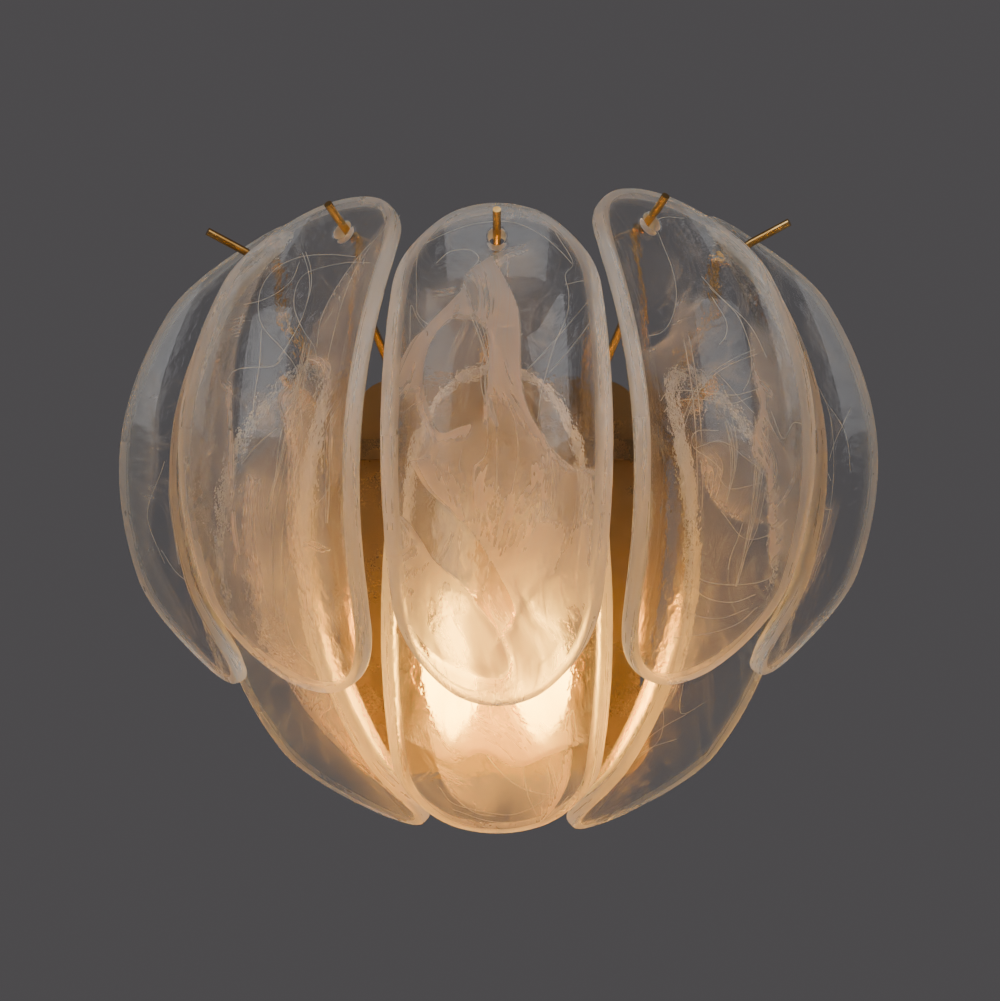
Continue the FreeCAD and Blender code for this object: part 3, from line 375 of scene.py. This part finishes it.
def veil_density(x, z, veils):
    """How milky the glass is at each place: dense at a veil's folded edge, thinning to one side.

    Also gives the clear seam that runs along the outer side of each folded edge.
    """
    total, seam = np.zeros_like(x), np.zeros_like(x)
    for points, side, reach, strength in veils:
        line = smooth_line(points)
        middle, way = (line[1:] + line[:-1]) / 2, line[1:] - line[:-1]
        gap = np.stack([x[:, None] - middle[:, 0], z[:, None] - middle[:, 1]])
        nearest = np.argmin((gap ** 2).sum(0), 1)
        row = np.arange(len(x))
        gap_x, gap_z = gap[0, row, nearest], gap[1, row, nearest]
        way_x, way_z = way[nearest, 0], way[nearest, 1]
        length = np.hypot(way_x, way_z)
        off = (way_x * gap_z - way_z * gap_x) / length * side
        past = np.maximum(np.abs(way_x * gap_x + way_z * gap_z) / length - length, 0)
        past = np.where((nearest == 0) | (nearest == len(way) - 1), past, 0)
        deep = np.maximum(off, 0) * 1000
        inner = EDGE_SHARE * np.exp(-deep / EDGE_DEPTH)
        inner += (1 - EDGE_SHARE) * np.exp(-deep / (REACH_STRETCH * reach))
        share = np.where(off > 0, inner, np.exp(-(off / EDGE_BLUR) ** 2)) * np.exp(-(past / TIP_FADE) ** 2)
        total = 1 - (1 - total) * (1 - strength * share)
        beside = np.exp(-((off + SEAM_AWAY) / SEAM_WIDTH) ** 2) * np.exp(-(past / SEAM_TIP_FADE) ** 2)
        seam = np.maximum(seam, beside)
    return total, seam


def combed_threads(draw, shape):
    """A bundle of fine threads that leave one place together and fan out in a long loose curve."""
    half_width, half_length = shape["half_width"] * 1000, shape["length"] * 500
    x, z = draw.uniform(-0.6, 0.6) * half_width, draw.uniform(-0.8, 0.5) * half_length
    heading, turn = math.pi / 2 + draw.uniform(-0.7, 0.7), draw.uniform(-0.2, 0.2)
    spine = []
    for _ in range(draw.randint(5, 10)):
        spine.append((x, z, heading))
        x, z = x + 10 * math.cos(heading), z + 10 * math.sin(heading)
        turn += draw.uniform(-0.12, 0.12)
        heading += turn
    bundle = []
    for strand in range(draw.randint(2, 6)):
        gap = strand * draw.uniform(1.2, 2.6)
        line = []
        for step, (x, z, heading) in enumerate(spine):
            wide = gap * (0.15 + step / len(spine))
            px, pz = x - wide * math.sin(heading), z + wide * math.cos(heading)
            if (px / half_width) ** 2 + (pz / half_length) ** 2 < 0.8:
                line.append((px, pz))
        if len(line) > 3:
            bundle.append(line)
    return bundle


def lattice_noise(across, along, cell, seed):
    """Smooth random height between -1 and 1 on a lattice of the given cell size."""
    draw = np.random.RandomState(seed)
    table = draw.uniform(-1, 1, (64, 64))
    u, v = across / cell, along / cell
    i, j = np.floor(u).astype(int), np.floor(v).astype(int)
    f, g = u - i, v - j
    f, g = f * f * f * (f * (6 * f - 15) + 10), g * g * g * (g * (6 * g - 15) + 10)
    a, b = table[i % 64, j % 64], table[(i + 1) % 64, j % 64]
    c, d = table[i % 64, (j + 1) % 64], table[(i + 1) % 64, (j + 1) % 64]
    return (a * (1 - f) + b * f) * (1 - g) + (c * (1 - f) + d * f) * g


def oval_arcs(shape):
    """The outline's end radius, and how far its side and end arcs' centres lie from the middle."""
    side, half_length = SIDE_RADIUS, shape["length"] / 2
    inset = side - shape["half_width"]
    end = (side ** 2 - inset ** 2 - half_length ** 2) / (2 * side - 2 * half_length)
    return end, inset, half_length - end


def oval_half_width(along, grow, shape):
    """Half the petal's width at a height along it, for an outline grown by a margin."""
    end, inset, rise = oval_arcs(shape)
    side, join = SIDE_RADIUS, math.atan2(rise, inset)
    height = np.abs(along)
    on_side = np.sqrt(np.maximum((side + grow) ** 2 - height ** 2, 0)) - inset
    on_end = np.sqrt(np.maximum((end + grow) ** 2 - (height - rise) ** 2, 0))
    return np.where(height < (side + grow) * math.sin(join), on_side, on_end)


def oval_edge(across, along, shape):
    """Distance inside the outline, and the outward direction of the nearest outline."""
    end, inset, rise = oval_arcs(shape)
    x, z = np.abs(across), np.abs(along)
    at_end = z > rise + x * rise / inset
    far_x, far_z = np.where(at_end, x, x + inset), np.where(at_end, z - rise, z)
    reach = np.hypot(far_x, far_z)
    inside = np.where(at_end, end, SIDE_RADIUS) - reach
    return inside, np.sign(across) * far_x / reach, np.sign(along) * far_z / reach


def saddle(across, along, lift, shape):
    """Points of the petal, in its own frame, at a height above its back face."""
    crown, curl = CROWN_RADIUS, shape["curl"]
    start = math.asin(shape["half_crown"] / crown)
    side = (crown - curl) * math.sin(start)
    middle = BEND + crown - (crown - curl) * math.cos(start)
    x = np.abs(across)
    flat = x <= shape["half_crown"]
    centre_x, centre_r = np.where(flat, 0, side), np.where(flat, BEND + crown, middle)
    radius = np.where(flat, crown, curl)
    drop = np.sqrt(np.maximum(radius ** 2 - (x - centre_x) ** 2, 1e-9))
    rho = centre_r - drop
    lean_x, lean_r = -(x - centre_x) / radius * np.sign(across), drop / radius
    turn = np.arcsin(np.clip(along / rho, -1, 1))
    x, rho = across + lean_x * lift, rho + lean_r * lift
    return np.stack([x, -rho * np.cos(turn), rho * np.sin(turn)], -1)


def flat_share(across, along, out_x, out_z, shape):
    """How much a step along the curved glass shortens in the flat outline, for a step's direction."""
    start = shape["half_crown"] / CROWN_RADIUS
    x = np.abs(across)
    on_crown, on_curl = x / CROWN_RADIUS, (x - shape["half_crown"]) / shape["curl"] + start
    slope = np.clip(np.where(x <= shape["half_crown"], on_crown, on_curl), 0, 0.95)
    turn = np.clip(along / BEND, -0.9, 0.9)
    return 1 / np.sqrt(out_x ** 2 / (1 - slope ** 2) + out_z ** 2 / (1 - turn ** 2))


def rim_margin(along, shape):
    """Width of the rim in the flat outline, at each height along the petal."""
    across = oval_half_width(along, 0, shape)
    _, out_x, out_z = oval_edge(across, along, shape)
    return RIM * flat_share(across, along, out_x, out_z, shape)


CELLS = (104, 212)
RIM_STEPS = 7
BLEND_RINGS = 2.2


def square_to_oval(cells, shape):
    """A grid of points over the petal, denser to its rim, as places across and along it."""
    u, v = np.meshgrid(np.linspace(-1, 1, cells[0] + 1), np.linspace(-1, 1, cells[1] + 1), indexing="ij")
    p, q = u * np.sqrt(1 - v * v / 2), v * np.sqrt(1 - u * u / 2)
    half_length = shape["length"] / 2
    along = q * (half_length - float(rim_margin(np.array(half_length), shape)))
    share = p / np.sqrt(np.maximum(1 - q * q, 1e-9))
    return np.clip(share, -1, 1) * oval_half_width(along, -rim_margin(along, shape), shape), along


def open_hole(across, along, level):
    """Draw the grid's nearest square of cells out into a round hole. Returns its index box too."""
    i = CELLS[0] // 2
    j = int(np.argmin(np.abs(along[i] - level)))
    step_x = abs(across[i + 1, j] - across[i, j])
    step_z = abs(along[i, j + 1] - along[i, j])
    wide = max(2, int(round(HOLE_RADIUS / step_x)))
    tall = max(2, int(round(HOLE_RADIUS / step_z)))
    dx, dz = across - across[i, j], along - along[i, j]
    ii, jj = np.meshgrid(np.arange(CELLS[0] + 1) - i, np.arange(CELLS[1] + 1) - j, indexing="ij")
    a, b = ii / wide, jj / tall
    square = np.maximum(np.abs(a), np.abs(b))
    ring = np.where(square > 0, square, 1)
    c, d = a / ring, b / ring
    to_x, to_z = c * np.sqrt(1 - d * d / 2), d * np.sqrt(1 - c * c / 2)
    share = np.clip((1 + BLEND_RINGS - square) / BLEND_RINGS, 0, 1) * (square > 0)
    share = share * share * (3 - 2 * share)
    face_radius = HOLE_RADIUS + HOLE_EASE
    across = across * (1 - share) + share * (to_x * face_radius * ring)
    along = along * (1 - share) + share * (level + to_z * face_radius * ring)
    return across, along, (i - wide, i + wide, j - tall, j + tall)


def swirl(x, z, centre_x, centre_z, radius, turns):
    """Places turned round a centre, less and less with distance, as stirred glass flows."""
    dx, dz = x - centre_x, z - centre_z
    angle = 2 * math.pi * turns * np.exp(-(dx * dx + dz * dz) / radius ** 2)
    c, s = np.cos(angle), np.sin(angle)
    return centre_x + dx * c - dz * s, centre_z + dx * s + dz * c


def hung(points, shape):
    """Points from the petal's own frame to where it hangs on its hook."""
    lean, turn = math.radians(-shape["lean"]), math.radians(shape["azimuth"])
    hole_angle = math.asin(shape["length"] / 2 / BEND) - shape["hole_inset"] / BEND
    seat = np.array([0, -BEND * math.cos(hole_angle) + HOLE_RADIUS * math.sin(hole_angle),
                     BEND * math.sin(hole_angle) + HOLE_RADIUS * math.cos(hole_angle)])
    tilt = np.array([[1, 0, 0], [0, math.cos(lean), -math.sin(lean)], [0, math.sin(lean), math.cos(lean)]])
    swing = np.array([[math.cos(turn), -math.sin(turn), 0], [math.sin(turn), math.cos(turn), 0], [0, 0, 1]])
    reach, height = shape["seat"]
    return (points @ tilt.T + np.array([0, -reach, height]) - tilt @ seat) @ swing.T


# Heights of the unevenness of each face and the sizes of its waves: the fire-polished front has a
# broad slump and a faint ripple, the cast back has small pebbles.
SLUMP, SLUMP_CELL = 0.00016, 0.034
RIPPLE, RIPPLE_CELL = 0.00003, 0.013
BACK_REST, PEBBLE, PEBBLE_CELL, GRIT_CELL = 0.00012, 0.00007, 0.0062, 0.0035
SWIRLS = 9
STREAK_ROUND, STREAK_DEPTH = 0.008, 2.2


def make_petal(name, shape, seed):
    """Mesh of one petal with its veil, flow, streak, rim and hole attributes."""
    half_angle = math.asin(shape["length"] / 2 / BEND)
    hole_angle = half_angle - shape["hole_inset"] / BEND
    across, along = square_to_oval(CELLS, shape)
    across, along, (i0, i1, j0, j1) = open_hole(across, along, BEND * math.sin(hole_angle))
    nx, nz = CELLS[0] + 1, CELLS[1] + 1
    grid = np.arange(nx * nz).reshape(nx, nz)
    loop = np.concatenate([grid[:-1, 0], grid[-1, :-1], grid[:0:-1, -1], grid[0, :0:-1]])
    hole = np.concatenate([grid[i0:i1, j0], grid[i1, j0:j1], grid[i1:i0:-1, j1], grid[i0, j1:j0:-1]])
    fx, fz = across.ravel(), along.ravel()
    inside, away_x, away_z = oval_edge(fx, fz, shape)
    inside = inside / flat_share(fx, fz, away_x, away_z, shape)

    def front_height(x, z):
        return GLASS + SLUMP * lattice_noise(x + 0.3, z + 0.3, SLUMP_CELL, seed) \
            + RIPPLE * lattice_noise(x + 0.3, z + 0.3, RIPPLE_CELL, seed + 50)

    def back_height(x, z):
        bumps = lattice_noise(x + 0.3, z + 0.3, PEBBLE_CELL, seed + 11)
        bumps = bumps + 0.6 * lattice_noise(x + 0.4, z + 0.2, GRIT_CELL, seed + 12)
        return BACK_REST + PEBBLE * bumps

    points, rim, ground, places, depths = [], [], [], [], []

    def add(x, z, height, rim_share, ground_share=0.0):
        start = sum(len(p) for p in points)
        points.append(saddle(x, z, height, shape))
        rim.append(np.broadcast_to(rim_share, x.shape))
        ground.append(np.broadcast_to(ground_share, x.shape))
        places.append(np.stack([x, z], -1))
        depths.append(np.broadcast_to(height, x.shape))
        return start

    fade = np.exp(-np.maximum(inside - RIM, 0) / RIM_FADE)
    back = add(fx, fz, back_height(fx, fz), fade)
    front = add(fx, fz, front_height(fx, fz), fade)
    quads = []
    cells = np.stack([grid[:-1, :-1], grid[1:, :-1], grid[1:, 1:], grid[:-1, 1:]], -1)
    keep = np.ones(cells.shape[:2], bool)
    keep[i0:i1, j0:j1] = False
    cells = cells[keep]
    quads.append(cells + front)
    quads.append(cells[:, ::-1] + back)

    lx, lz = fx[loop], fz[loop]
    _, out_x, out_z = oval_edge(lx, lz, shape)
    margin = rim_margin(lz, shape)
    rings = [back + loop]
    for step in range(1, RIM_STEPS):
        angle = math.pi * step / RIM_STEPS
        reach = margin * (1 + RIM_PROUD / RIM) * abs(math.sin(angle)) ** 0.38
        share = 0.5 - 0.5 * math.copysign(abs(math.cos(angle)) ** 0.8, math.cos(angle))
        low, high = back_height(lx, lz), front_height(lx, lz)
        start = add(lx + out_x * reach, lz + out_z * reach, low + (high - low) * share, 1.0)
        rings.append(start + np.arange(len(loop)))
    rings.append(front + loop)
    for lower, upper in zip(rings, rings[1:]):
        quads.append(np.stack([lower, np.roll(lower, -1), np.roll(upper, -1), upper], -1))

    hx, hz = fx[hole], fz[hole]
    level = BEND * math.sin(hole_angle)
    shrink = HOLE_RADIUS / (HOLE_RADIUS + HOLE_EASE)
    rings = [back + hole]
    for share in (0.1, 0.5, 0.9):
        low, high = back_height(hx, hz), front_height(hx, hz)
        start = add(hx * shrink, level + (hz - level) * shrink, low + (high - low) * share, 0.0, 1.0)
        rings.append(start + np.arange(len(hole)))
    rings.append(front + hole)
    for lower, upper in zip(rings, rings[1:]):
        quads.append(np.stack([upper, np.roll(upper, -1), np.roll(lower, -1), lower], -1))

    points, places = np.concatenate(points), np.concatenate(places)
    rim, ground = np.concatenate(rim), np.concatenate(ground)
    faces = np.concatenate(quads)

    points = hung(points, shape)

    draw = np.random.RandomState(seed)
    x, z = places[:, 0].copy(), places[:, 1].copy()
    for _ in range(SWIRLS):
        cx, cz = draw.uniform(-0.05, 0.05), draw.uniform(-0.11, 0.11)
        x, z = swirl(x, z, cx, cz, draw.uniform(0.02, 0.045),
                     draw.choice([-1, 1]) * draw.uniform(0.06, 0.26))
    flow = np.stack([x, z, np.full_like(x, 0.37 * seed)], -1)

    low = np.clip((0.02 - places[:, 1]) / 0.09, 0, 1)
    base = HAZE[name][0] + (HAZE[name][1] - HAZE[name][0]) * low * low * (3 - 2 * low)
    folds, seam = veil_density(places[:, 0], places[:, 1], VEILS[name])
    veil = (1 - (1 - FOLD_STRENGTH * folds) * (1 - base)) * (1 - SEAM_STRENGTH * seam)
    walk = np.arctan2(places[:, 1], places[:, 0] * 2) * STREAK_ROUND
    streak = np.stack([walk, np.concatenate(depths) * STREAK_DEPTH, np.full_like(walk, seed)], -1)

    mesh = bpy.data.meshes.new(name + "_glass")
    mesh.vertices.add(len(points))
    mesh.vertices.foreach_set("co", points.ravel())
    mesh.loops.add(faces.size)
    mesh.loops.foreach_set("vertex_index", faces.ravel().astype(np.int32))
    mesh.polygons.add(len(faces))
    mesh.polygons.foreach_set("loop_start", np.arange(0, faces.size, 4, dtype=np.int32))
    mesh.update()
    mesh.polygons.foreach_set("use_smooth", np.ones(len(faces), bool))
    mesh.attributes.new("flow", "FLOAT_VECTOR", "POINT").data.foreach_set("vector", flow.ravel())
    mesh.attributes.new("streak", "FLOAT_VECTOR", "POINT").data.foreach_set("vector", streak.ravel())
    mesh.attributes.new("veil", "FLOAT", "POINT").data.foreach_set("value", veil.astype(np.float32))
    mesh.attributes.new("rim", "FLOAT", "POINT").data.foreach_set("value", rim.astype(np.float32))
    mesh.attributes.new("ground", "FLOAT", "POINT").data.foreach_set("value", ground.astype(np.float32))
    piece = bpy.data.objects.new(name + "_glass", mesh)
    bpy.context.collection.objects.link(piece)
    return piece


def glass_finish():
    """Clear glass with milky veils, a pebbled back, a milky rim and ground hole walls.

    Milky glass lets through warmer light where it is denser, and blurs what is behind it.
    """
    finish, tree = new_finish("veiled_glass")
    flow = node(tree, "ShaderNodeAttribute", attribute_name="flow").outputs["Vector"]
    streak = node(tree, "ShaderNodeAttribute", attribute_name="streak").outputs["Vector"]
    veil = node(tree, "ShaderNodeAttribute", attribute_name="veil").outputs["Fac"]
    rim = node(tree, "ShaderNodeAttribute", attribute_name="rim").outputs["Fac"]
    ground = node(tree, "ShaderNodeAttribute", attribute_name="ground").outputs["Fac"]
    drawn = node(tree, "ShaderNodeMapping", {"Vector": flow, "Scale": (7.0, 1.0, 1.0)}).outputs[0]
    cloud = spread(tree, noise(tree, flow, 13.0, 2.0, 0.5, 0.3), 0.46, 0.8)
    combed = spread(tree, noise(tree, drawn, 24.0, 5.0, 0.6, 0.1), 0.3, 0.72, 0.8, 1.14)
    wisps = noise(tree, drawn, 9.0, 3.0, 0.5, 0.6)
    thread = maths(tree, "ABSOLUTE", maths(tree, "SUBTRACT", wisps, 0.5))
    thread = maths(tree, "MULTIPLY", spread(tree, thread, 0.0, 0.016, 1.0, 0.0), 0.16)
    drift = maths(tree, "ADD", maths(tree, "MULTIPLY", cloud, 0.05), thread)
    thin = spread(tree, noise(tree, flow, 22.0, 3.0, 0.55, 0.4), 0.35, 0.68, 1.06, 0.66)
    milk = maths(tree, "MULTIPLY", maths(tree, "MULTIPLY", maths(tree, "ADD", veil, drift), combed), thin)
    lines = spread(tree, noise(tree, streak, 260.0, 4.0, 0.6), 0.3, 0.7, 0.3, 0.48)
    milk = maths(tree, "MAXIMUM", maths(tree, "MULTIPLY", rim, lines), milk)
    milk = maths(tree, "MINIMUM", maths(tree, "MAXIMUM", milk, maths(tree, "MULTIPLY", ground, 0.9)), 0.9)
    blur = maths(tree, "MULTIPLY", maths(tree, "POWER", milk, 2.0), 2.2)
    rough = maths(tree, "ADD", blur, 0.02, clamp=True)
    place = node(tree, "ShaderNodeTexCoord").outputs["Object"]
    broad = maths(tree, "MULTIPLY", noise(tree, place, 120.0, 1.0), 1.5)
    pebbles = maths(tree, "ADD", noise(tree, place, 330.0, 2.0, 0.6), broad)
    deep = node(tree, "ShaderNodeSeparateXYZ", {0: streak}).outputs["Y"]
    dent = node(tree, "ShaderNodeBump", {"Strength": spread(tree, deep, 0.002, 0.008, 1.0, 0.04),
                                         "Distance": 0.0003, "Height": pebbles}).outputs["Normal"]
    clear = node(tree, "ShaderNodeBsdfPrincipled", {"Base Color": (0.985, 0.985, 0.98, 1), "Roughness": rough,
                                                    "Normal": dent, "IOR": 1.5, "Transmission Weight": 1.0})
    off_rim = maths(tree, "SUBTRACT", 1.0, maths(tree, "MULTIPLY", rim, 0.7))
    dense = maths(tree, "MULTIPLY", spread(tree, milk, 0.1, 0.6), off_rim)
    amber = blend_colours(tree, dense, (0.93, 0.78, 0.52, 1), (0.97, 0.62, 0.24, 1))
    lit_through = node(tree, "ShaderNodeBsdfTranslucent", {"Color": amber})
    lit_front = node(tree, "ShaderNodeBsdfDiffuse", {"Color": (0.76, 0.76, 0.76, 1)})
    white = node(tree, "ShaderNodeMixShader", {0: 0.5, 1: lit_front.outputs[0], 2: lit_through.outputs[0]})
    body = node(tree, "ShaderNodeMixShader", {0: milk, 1: clear.outputs[0], 2: white.outputs[0]})
    passing = node(tree, "ShaderNodeBsdfTransparent", {"Color": (0.93, 0.92, 0.9, 1)})
    shadow = node(tree, "ShaderNodeLightPath").outputs["Is Shadow Ray"]
    let_by = maths(tree, "MULTIPLY", shadow, maths(tree, "SUBTRACT", 1.0, maths(tree, "MULTIPLY", milk, 0.6)))
    both = node(tree, "ShaderNodeMixShader", {0: let_by, 1: body.outputs[0], 2: passing.outputs[0]})
    node(tree, "ShaderNodeOutputMaterial", {"Surface": both.outputs[0]})
    return finish


def thread_finish():
    """White glass thread, dense in the middle of its length and lit from all round."""
    finish, tree = new_finish("white_thread_glass")
    place = node(tree, "ShaderNodeTexCoord").outputs["Object"]
    drift = spread(tree, noise(tree, place, 90.0, 3.0), 0.3, 0.7)
    tone = blend_colours(tree, drift, (0.86, 0.82, 0.75, 1), (0.72, 0.67, 0.6, 1))
    front = node(tree, "ShaderNodeBsdfDiffuse", {"Color": tone})
    through = node(tree, "ShaderNodeBsdfTranslucent", {"Color": tone})
    body = node(tree, "ShaderNodeMixShader", {0: 0.5, 1: front.outputs[0], 2: through.outputs[0]})
    node(tree, "ShaderNodeOutputMaterial", {"Surface": body.outputs[0]})
    return finish


def socket(tree, name, kind, value=None):
    """A named input of a node group, with its first value."""
    made = tree.interface.new_socket(name, in_out="INPUT", socket_type=kind)
    if value is not None:
        made.default_value = value
    return made.identifier


def thread_tree(finish):
    """Node group that turns drawn lines into thin round threads, tapered to their ends."""
    tree = bpy.data.node_groups.new("drawn_threads", "GeometryNodeTree")
    socket(tree, "Geometry", "NodeSocketGeometry")
    thickness = socket(tree, "Thickness", "NodeSocketFloat", 0.0004)
    socket(tree, "Sides", "NodeSocketInt", 6)
    tree.interface.new_socket("Geometry", in_out="OUTPUT", socket_type="NodeSocketGeometry")
    given = node(tree, "NodeGroupInput")
    lines = node(tree, "GeometryNodeMeshToCurve", {"Mesh": given.outputs["Geometry"]})
    along = node(tree, "GeometryNodeSplineParameter").outputs["Factor"]
    swell = maths(tree, "MULTIPLY", maths(tree, "MULTIPLY", along, maths(tree, "SUBTRACT", 1.0, along)), 4.0)
    swell = maths(tree, "ADD", maths(tree, "POWER", swell, 0.4), 0.04)
    weight = node(tree, "GeometryNodeInputNamedAttribute", {"Name": "weight"}, data_type="FLOAT")
    radius = maths(tree, "MULTIPLY", swell, weight.outputs["Attribute"])
    thick = node(tree, "GeometryNodeSetCurveRadius", {"Curve": lines.outputs[0], "Radius": radius})
    ring = node(tree, "GeometryNodeCurvePrimitiveCircle", {"Resolution": given.outputs["Sides"],
                                                           "Radius": given.outputs["Thickness"]})
    tubes = node(tree, "GeometryNodeCurveToMesh", {"Curve": thick.outputs[0],
                                                   "Profile Curve": ring.outputs["Curve"], "Fill Caps": True})
    smooth = node(tree, "GeometryNodeSetShadeSmooth", {"Geometry": tubes.outputs[0]})
    real = node(tree, "GeometryNodeRealizeInstances", {"Geometry": smooth.outputs[0]})
    dressed = node(tree, "GeometryNodeSetMaterial", {"Geometry": real.outputs[0], "Material": finish})
    node(tree, "NodeGroupOutput", {"Geometry": dressed.outputs[0]})
    return tree, thickness


def grown(name, mesh, tree, settings):
    """The plain mesh that a node group grows from a start mesh, as a finished object."""
    start = bpy.data.objects.new(name + "_start", mesh)
    bpy.context.collection.objects.link(start)
    modifier = start.modifiers.new("grow", "NODES")
    modifier.node_group = tree
    for identifier, value in settings.items():
        modifier[identifier] = value
    bpy.context.view_layer.update()
    result = bpy.data.meshes.new_from_object(start.evaluated_get(bpy.context.evaluated_depsgraph_get()))
    bpy.data.objects.remove(start)
    result.name = name
    piece = bpy.data.objects.new(name, result)
    bpy.context.collection.objects.link(piece)
    return piece


def make_threads(name, shape, seed, tree, thickness):
    """The white threads inside one petal, at about the middle of its thickness."""
    draw = np.random.RandomState(seed + 700)
    lines = [(points, draw.uniform(0.8, 1.25)) for points in THREADS[name]]
    for _ in range(THREAD_BUNDLES):
        lines += [(points, draw.uniform(0.35, 0.65)) for points in combed_threads(draw, shape)]
    places, edges, weights = [], [], []
    for points, weight in lines:
        line = smooth_line(points)
        start = sum(len(p) for p in places)
        depth = GLASS * (0.5 + 0.22 * np.sin(np.linspace(0, 5, len(line)) + draw.uniform(0, 6)))
        places.append(saddle(line[:, 0], line[:, 1], depth, shape))
        edges += [(start + n, start + n + 1) for n in range(len(line) - 1)]
        weights += [weight] * len(line)
    mesh = bpy.data.meshes.new(name + "_thread_lines")
    mesh.from_pydata(hung(np.concatenate(places), shape).tolist(), edges, [])
    mesh.attributes.new("weight", "FLOAT", "POINT").data.foreach_set("value", weights)
    return grown(name + "_threads", mesh, tree, {thickness: THREAD_RADIUS})


THREAD_RADIUS = 0.00016
THREAD_BUNDLES = 3
veiled_glass = glass_finish()
white_thread = thread_finish()
threads_tree, thread_thickness = thread_tree(white_thread)
for seed, (name, shape) in enumerate(SHAPES.items(), 3):
    petal = make_petal(name, shape, seed)
    petal.data.materials.append(veiled_glass)
    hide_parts(name)
    threads = make_threads(name, shape, seed, threads_tree, thread_thickness)
    for piece in (petal, threads):
        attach(piece, name)

# ---------------------------------------------------------------- floor, light and camera
# A finite pale floor well below the light, a plain grey surround, two broad soft lamps and a weak
# fill, and the camera at the photograph's level and distance.
floor_mesh = bpy.data.meshes.new("floor")
FLOOR_LEVEL, FLOOR_HALF = -1.7, 3.0
corners = [(x * FLOOR_HALF, y * FLOOR_HALF, FLOOR_LEVEL) for x, y in ((-1, -1), (1, -1), (1, 1), (-1, 1))]
floor_mesh.from_pydata(corners, [], [(0, 1, 2, 3)])
floor = bpy.data.objects.new("floor", floor_mesh)
bpy.context.collection.objects.link(floor)
pale_floor = plain_finish("pale_floor", (0.62, 0.6, 0.57, 1), (0.58, 0.56, 0.53, 1), 0.8, 60.0)
floor_mesh.materials.append(pale_floor)

world = bpy.data.worlds.new("surround")
bpy.context.scene.world = world
world.use_nodes = True
world.node_tree.nodes["Background"].inputs["Color"].default_value = (0.08, 0.076, 0.08, 1)
world.node_tree.nodes["Background"].inputs["Strength"].default_value = 1.0


def soft_lamp(name, place, target, width, power, colour=(1, 1, 1)):
    """A broad rectangular studio light aimed at a point."""
    lamp = bpy.data.lights.new(name, "AREA")
    lamp.shape = "RECTANGLE"
    lamp.size, lamp.size_y = width, width * 0.8
    lamp.energy = power
    lamp.color = colour
    holder = bpy.data.objects.new(name, lamp)
    holder.location = place
    way = np.array(target) - np.array(place)
    yaw, pitch = math.atan2(way[1], way[0]), math.atan2(math.hypot(way[0], way[1]), -way[2])
    holder.rotation_euler = (pitch, 0, yaw - math.pi / 2)
    bpy.context.collection.objects.link(holder)
    return holder


soft_lamp("key_left", (-1.6, -1.7, 1.3), (0, 0, 0.03), 2.0, 16.0, (0.96, 0.98, 1.0))
soft_lamp("key_right", (1.7, -1.6, 1.2), (0, 0, 0.03), 2.0, 12.0, (0.96, 0.98, 1.0))
soft_lamp("top", (0.0, -0.3, 1.8), (0, -0.05, 0.03), 1.6, 8.0, (0.96, 0.98, 1.0))

CAMERA_X, CAMERA_Z, CAMERA_AWAY = 0.0015, 0.0385, 1.75
FRAME_WIDTH = 0.517
camera_data = bpy.data.cameras.new("camera")
camera_data.sensor_width = 36.0
camera_data.lens = camera_data.sensor_width * CAMERA_AWAY / FRAME_WIDTH
camera = bpy.data.objects.new("camera", camera_data)
camera.location = (CAMERA_X, -CAMERA_AWAY, CAMERA_Z)
camera.rotation_euler = (math.pi / 2, 0, 0)
bpy.context.collection.objects.link(camera)
bpy.context.scene.camera = camera
